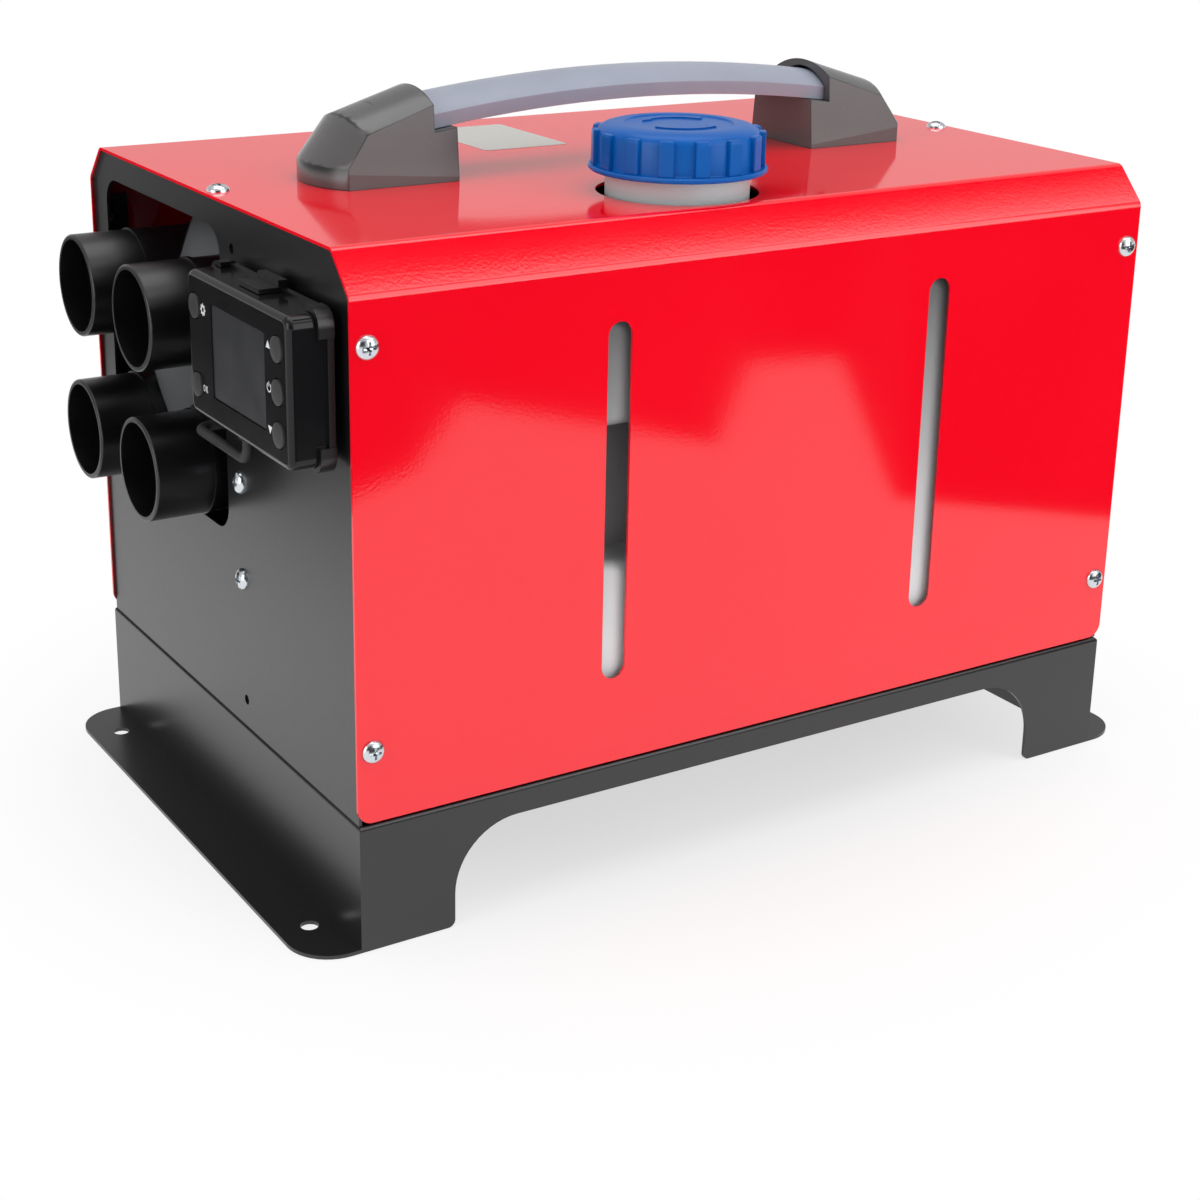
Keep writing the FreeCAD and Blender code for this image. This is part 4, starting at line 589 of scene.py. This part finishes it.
# Display buttons: five dark grey rubber keys with a low crown, each in a round hole.
# White marks beside them are printed on the gloss face: gear, word, arrows and power sign.
key_grey = Finish("key_grey", IOR=1.45)
rub = key_grey.noise(400.0, 3.0)
key_grey.surface(
    Base_Color=key_grey.blend(rub, (0.016, 0.016, 0.018), (0.030, 0.030, 0.032)),
    Roughness=0.36 + 0.2 * rub,
    Normal=key_grey.relief(key_grey.noise(1500.0), 0.1, 0.05 * MM),
)
display_face, display_y, display_z = -204.0, -72.8, 215.0
key_places = {"settings": (37.0, 14.6), "ok": (37.0, -15.3), "up": (-35.8, 15.0),
              "power": (-35.8, -0.3), "down": (-35.8, -15.6)}
key_radius, key_crown, key_stand, key_root = 4.6, 0.5, 0.6, -3.0
key_profile = [(0.0, key_crown + key_stand)]
for degrees in (15, 30, 45, 60, 72, 82, 90):
    angle = math.radians(degrees)
    key_profile.append((key_radius * math.sin(angle), key_stand + key_crown * math.cos(angle)))
key_profile += [(key_radius, key_root), (0.0, key_root)]
for word, (aside, above) in key_places.items():
    key = lathed(f"key_{word}_cap", key_profile, (0.0, 0.0), key_grey, 40, steps=48)
    key.data.transform(Matrix((
        (0, 0, -1, display_face * MM), (-1, 0, 0, (display_y + aside) * MM),
        (0, 1, 0, (display_z + above) * MM), (0, 0, 0, 1))))
    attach(key, f"key_{word}")
    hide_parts(f"button_{word}")
white_ink = Finish("white_ink")
ink = white_ink.noise(900.0, 3.0)
white_ink.surface(
    Base_Color=white_ink.blend(ink, (0.66, 0.67, 0.68), (0.80, 0.81, 0.82)),
    Roughness=0.45 + 0.2 * ink,
)
mark_gap, ink_thickness = 7.6, 0.05


def thicken(shape, face, way):
    """Moves a copy of a flat face along a vector and closes the sides between."""
    raised = bmesh.ops.extrude_face_region(shape, geom=[face])
    moved = [item for item in raised["geom"] if isinstance(item, bmesh.types.BMVert)]
    bmesh.ops.translate(shape, verts=moved, vec=way)


def printed(name, loops, key_name, gap):
    """Flat marks beside a key, drawn in millimetres right and up, as thin ink on the display's face."""
    aside, above = key_places[key_name]
    centre_y, centre_z = display_y + (aside + gap), display_z + above
    shape = bmesh.new()
    for loop in loops:
        corners = [(display_face * MM, (centre_y - right) * MM, (centre_z + up) * MM) for right, up in loop]
        face = shape.faces.new([shape.verts.new(corner) for corner in corners])
        thicken(shape, face, (-ink_thickness * MM, 0, 0))
    bmesh.ops.recalc_face_normals(shape, faces=shape.faces)
    mark = finished(name, shape, white_ink, 30)
    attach(mark, "housing")


def polar(radius, degrees):
    """A point at a radius and an angle."""
    return (radius * math.cos(math.radians(degrees)), radius * math.sin(math.radians(degrees)))


def band(inner, outer, first, last, pieces):
    """A curved stroke between two radii, as a row of flat quads."""
    cuts = [first + (last - first) * index / pieces for index in range(pieces + 1)]
    return [[polar(inner, one), polar(outer, one), polar(outer, two), polar(inner, two)]
            for one, two in zip(cuts, cuts[1:])]


tooth_root, tooth_tip, root_spread, tip_spread = 1.7, 2.35, 13, 9
gear = band(1.0, 1.75, 0, 360, 32)
for degrees in range(0, 360, 45):
    gear.append([polar(tooth_root, degrees - root_spread), polar(tooth_tip, degrees - tip_spread),
                 polar(tooth_tip, degrees + tip_spread), polar(tooth_root, degrees + root_spread)])
printed("mark_gear", gear, "settings", -mark_gap)
letter_o = [[(x * 0.85 - 1.25, y * 1.25) for x, y in quad] for quad in band(0.66, 1.0, 0, 360, 28)]
letter_k = [[(0.35, -1.25), (0.70, -1.25), (0.70, 1.25), (0.35, 1.25)],
            [(0.70, -0.15), (0.95, 0.10), (1.95, 1.25), (1.50, 1.25), (0.70, 0.28)],
            [(0.92, 0.06), (1.52, -1.25), (1.98, -1.25), (1.16, 0.34)]]
printed("mark_ok", letter_o + letter_k, "ok", -mark_gap)
printed("mark_up", [[(-1.7, -1.3), (1.7, -1.3), (0, 1.5)]], "up", mark_gap)
printed("mark_down", [[(-1.7, 1.3), (0, -1.5), (1.7, 1.3)]], "down", mark_gap)
power_stroke = [(-0.22, 0.3), (0.22, 0.3), (0.22, 2.1), (-0.22, 2.1)]
printed("mark_power", band(1.35, 1.8, 125, 415, 28) + [power_stroke], "power", mark_gap)

# Plain label: a pale paper sticker on top of the cover, left blank.
# It is pressed flat on the enamel, with round corners and a faintly fibrous face.
label_paper = Finish("label_paper")
fibre = label_paper.noise(500.0, 5.0)
label_paper.surface(
    Base_Color=label_paper.blend(fibre, (0.50, 0.49, 0.46), (0.58, 0.57, 0.54)),
    Roughness=0.42 + 0.2 * fibre,
    Normal=label_paper.relief(fibre, 0.08, 0.05 * MM),
)
label_left, label_right, label_front, label_rear = -43.0, -2.0, 33.0, 93.0
label_round, label_thickness = 2.0, 0.15
label = bmesh.new()
outline = []
for round_x, round_y, first in (
        (label_right - label_round, label_rear - label_round, 0),
        (label_left + label_round, label_rear - label_round, 90),
        (label_left + label_round, label_front + label_round, 180),
        (label_right - label_round, label_front + label_round, 270)):
    for degrees in range(first, first + 91, 15):
        right, back = polar(label_round, degrees)
        outline.append(label.verts.new(((round_x + right) * MM, (round_y + back) * MM, cover_top * MM)))
thicken(label, label.faces.new(outline), (0, 0, label_thickness * MM))
bmesh.ops.recalc_face_normals(label, faces=label.faces)
label_piece = finished("plain_label", label, label_paper, 30)
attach(label_piece, "housing")

# Floor: a plain pale sheet under the heater, wide enough to fill the picture.
# It keeps the soft shadow near the heater and turns to plain white farther out.
floor_pale = Finish("floor_pale", Roughness=0.9)
shadow_reach, white_reach, shadow_white = 0.10, 0.34, 0.62
floor_half, floor_drop = 40.0, 0.4 * MM
seen_rays = ("Is Camera Ray", "Is Glossy Ray", "Is Transmission Ray")
dust = floor_pale.noise(3.0)
floor_pale.surface(Base_Color=floor_pale.blend(dust, (0.90, 0.90, 0.90), (0.92, 0.92, 0.92)))
distance = floor_pale.add("ShaderNodeVectorMath", {"operation": "LENGTH"}, {0: floor_pale.place}, "Value")
fade = floor_pale.ramp(distance, shadow_reach, white_reach, shadow_white, 1.0, "SMOOTHSTEP")
camera_ray, glossy_ray, clear_ray = [floor_pale.add("ShaderNodeLightPath", {}, {}, ray) for ray in seen_rays]
white = floor_pale.add("ShaderNodeEmission", {}, {"Color": (1.0, 1.0, 1.0, 1.0), "Strength": 1.0})
sheet = Value(floor_pale, floor_pale.shader.outputs[0])
white_share = (camera_ray + glossy_ray + clear_ray) * fade
mixed = floor_pale.add("ShaderNodeMixShader", {}, {0: white_share, 1: sheet, 2: white})
floor_pale.feed(floor_pale.nodes.nodes["Material Output"].inputs["Surface"], mixed)
floor_shape = bmesh.new()
bmesh.ops.create_grid(floor_shape, x_segments=1, y_segments=1, size=floor_half)
bmesh.ops.translate(floor_shape, verts=floor_shape.verts, vec=(0, 0, -floor_drop))
floor = finished("floor", floor_shape, floor_pale, 30)

# Studio light: soft boxes overhead, at the front right and at the left, and a strip box above the front.
# Dark cards round the heater show only in its gloss.
# The room is pale grey, and its wall is white low down, where it meets the floor.
dark_card = Finish("dark_card", Roughness=0.9)
card_tone = dark_card.noise(4.0)
dark_card.surface(Base_Color=dark_card.blend(card_tone, (0.010, 0.010, 0.011), (0.016, 0.016, 0.017)))
front_card = [(-0.30, -0.42), (0.10, -0.63), (0.20, -0.75), (0.30, -0.585), (0.44, -0.74), (0.51, -0.72),
              (0.33, -0.44), (0.42, -0.35), (0.90, -0.10)]
side_card = [(-0.40, 0.15), (-0.40, 1.00)]
rear_card = [(-0.95, -0.75), (-0.25, -1.25)]
roof_card = [(0.15, -0.451), (0.74, -0.442), (1.19, -0.427), (1.35, -0.420), (1.35, -0.18), (0.15, -0.18)]
card_top, rear_low, rear_high, roof_height = 0.22, 0.25, 1.10, 1.20


def upright_card(shape, line, low, high):
    """A folded card that stands on a line, between two heights."""
    for start, end in zip(line, line[1:]):
        corners = ((*start, low), (*start, high), (*end, high), (*end, low))
        shape.faces.new([shape.verts.new(corner) for corner in corners])


card_shape = bmesh.new()
upright_card(card_shape, front_card, 0.0, card_top)
upright_card(card_shape, side_card, 0.0, card_top)
card_shape.faces.new([card_shape.verts.new((*corner, roof_height)) for corner in roof_card])
upright_card(card_shape, rear_card, rear_low, rear_high)
card = finished("dark_card", card_shape, dark_card, 30)
card.visible_camera = False
card.visible_diffuse = False
card.visible_shadow = False


def soft_box(name, place, aim, width, height, power):
    """A rectangular lamp, sized in metres and turned to a point."""
    lamp = bpy.data.lights.new(name, "AREA")
    lamp.shape = "RECTANGLE"
    lamp.size = width
    lamp.size_y = height
    lamp.energy = power
    box = bpy.data.objects.new(name, lamp)
    bpy.context.collection.objects.link(box)
    box.location = place
    box.rotation_euler = (Vector(aim) - Vector(place)).to_track_quat("-Z", "Y").to_euler()


soft_box("overhead_box", (0.1, 0.1, 1.9), cover_middle, 1.8, 1.4, 13.0)
soft_box("front_box", (0.9, -1.7, 0.9), cover_middle, 1.5, 1.5, 12.0)
soft_box("left_box", (-1.9, -0.4, 0.8), cover_middle, 1.0, 1.4, 10.0)
soft_box("strip_box", (0.75, -0.62, 1.25), (0.75, -0.62, 0.0), 1.5, 0.30, 2.2)
world = bpy.data.worlds.new("room")
bpy.context.scene.world = world
world.use_nodes = True
room = world.node_tree
room_light, wall_white, wall_rise, wall_fade = 0.58, 1.0, 0.06, 0.12
direction = step(room, "ShaderNodeTexCoord", {}, {})
rise = step(room, "ShaderNodeSeparateXYZ", {}, {0: direction.outputs["Generated"]})
low = step(room, "ShaderNodeMapRange", {}, {
    "Value": rise.outputs["Z"], "From Min": wall_fade, "From Max": wall_rise})
rays = step(room, "ShaderNodeLightPath", {}, {})
camera_ray, glossy_ray, clear_ray = [rays.outputs[ray] for ray in seen_rays]
first_seen = step(room, "ShaderNodeMath", {"operation": "ADD"}, {0: camera_ray, 1: glossy_ray})
seen = step(room, "ShaderNodeMath", {"operation": "ADD"}, {0: first_seen.outputs[0], 1: clear_ray})
seen_wall = step(room, "ShaderNodeMath", {"operation": "MULTIPLY"}, {0: low.outputs[0], 1: seen.outputs[0]})
strength = step(room, "ShaderNodeMapRange", {}, {
    "Value": seen_wall.outputs[0], "To Min": room_light, "To Max": wall_white})
room.nodes["Background"].inputs["Color"].default_value = (1.0, 1.0, 1.0, 1.0)
room.links.new(strength.outputs[0], room.nodes["Background"].inputs["Strength"])

# Camera: stands left of the front corner, a little above the heater, as in the photograph.
# The picture is square, and the frame is shifted so that the heater stands above its middle.
azimuth, elevation, roll = math.radians(-32.614), math.radians(18.252), math.radians(1.166)
camera_place = Vector((-0.4931, -0.7657, 0.4195))
focal_pixels, frame_pixels, sensor_width = 2157.4, 1200.0, 36.0
frame_shift, near_clip = -0.1, 0.02
back = Vector((math.sin(azimuth) * math.cos(elevation), -math.cos(azimuth) * math.cos(elevation),
               math.sin(elevation)))
level_right = Vector((math.cos(azimuth), math.sin(azimuth), 0.0))
level_up = back.cross(level_right)
right = level_right * math.cos(roll) + level_up * math.sin(roll)
up = level_up * math.cos(roll) - level_right * math.sin(roll)
camera_data = bpy.data.cameras.new("camera")
camera_data.sensor_width = sensor_width
camera_data.lens = focal_pixels / frame_pixels * sensor_width
camera_data.shift_y = frame_shift
camera_data.clip_start = near_clip
camera = bpy.data.objects.new("camera", camera_data)
bpy.context.collection.objects.link(camera)
camera.matrix_world = Matrix((
    (right.x, up.x, back.x, camera_place.x), (right.y, up.y, back.y, camera_place.y),
    (right.z, up.z, back.z, camera_place.z), (0, 0, 0, 1)))
bpy.context.scene.camera = camera
bpy.context.scene.view_settings.view_transform = "Standard"
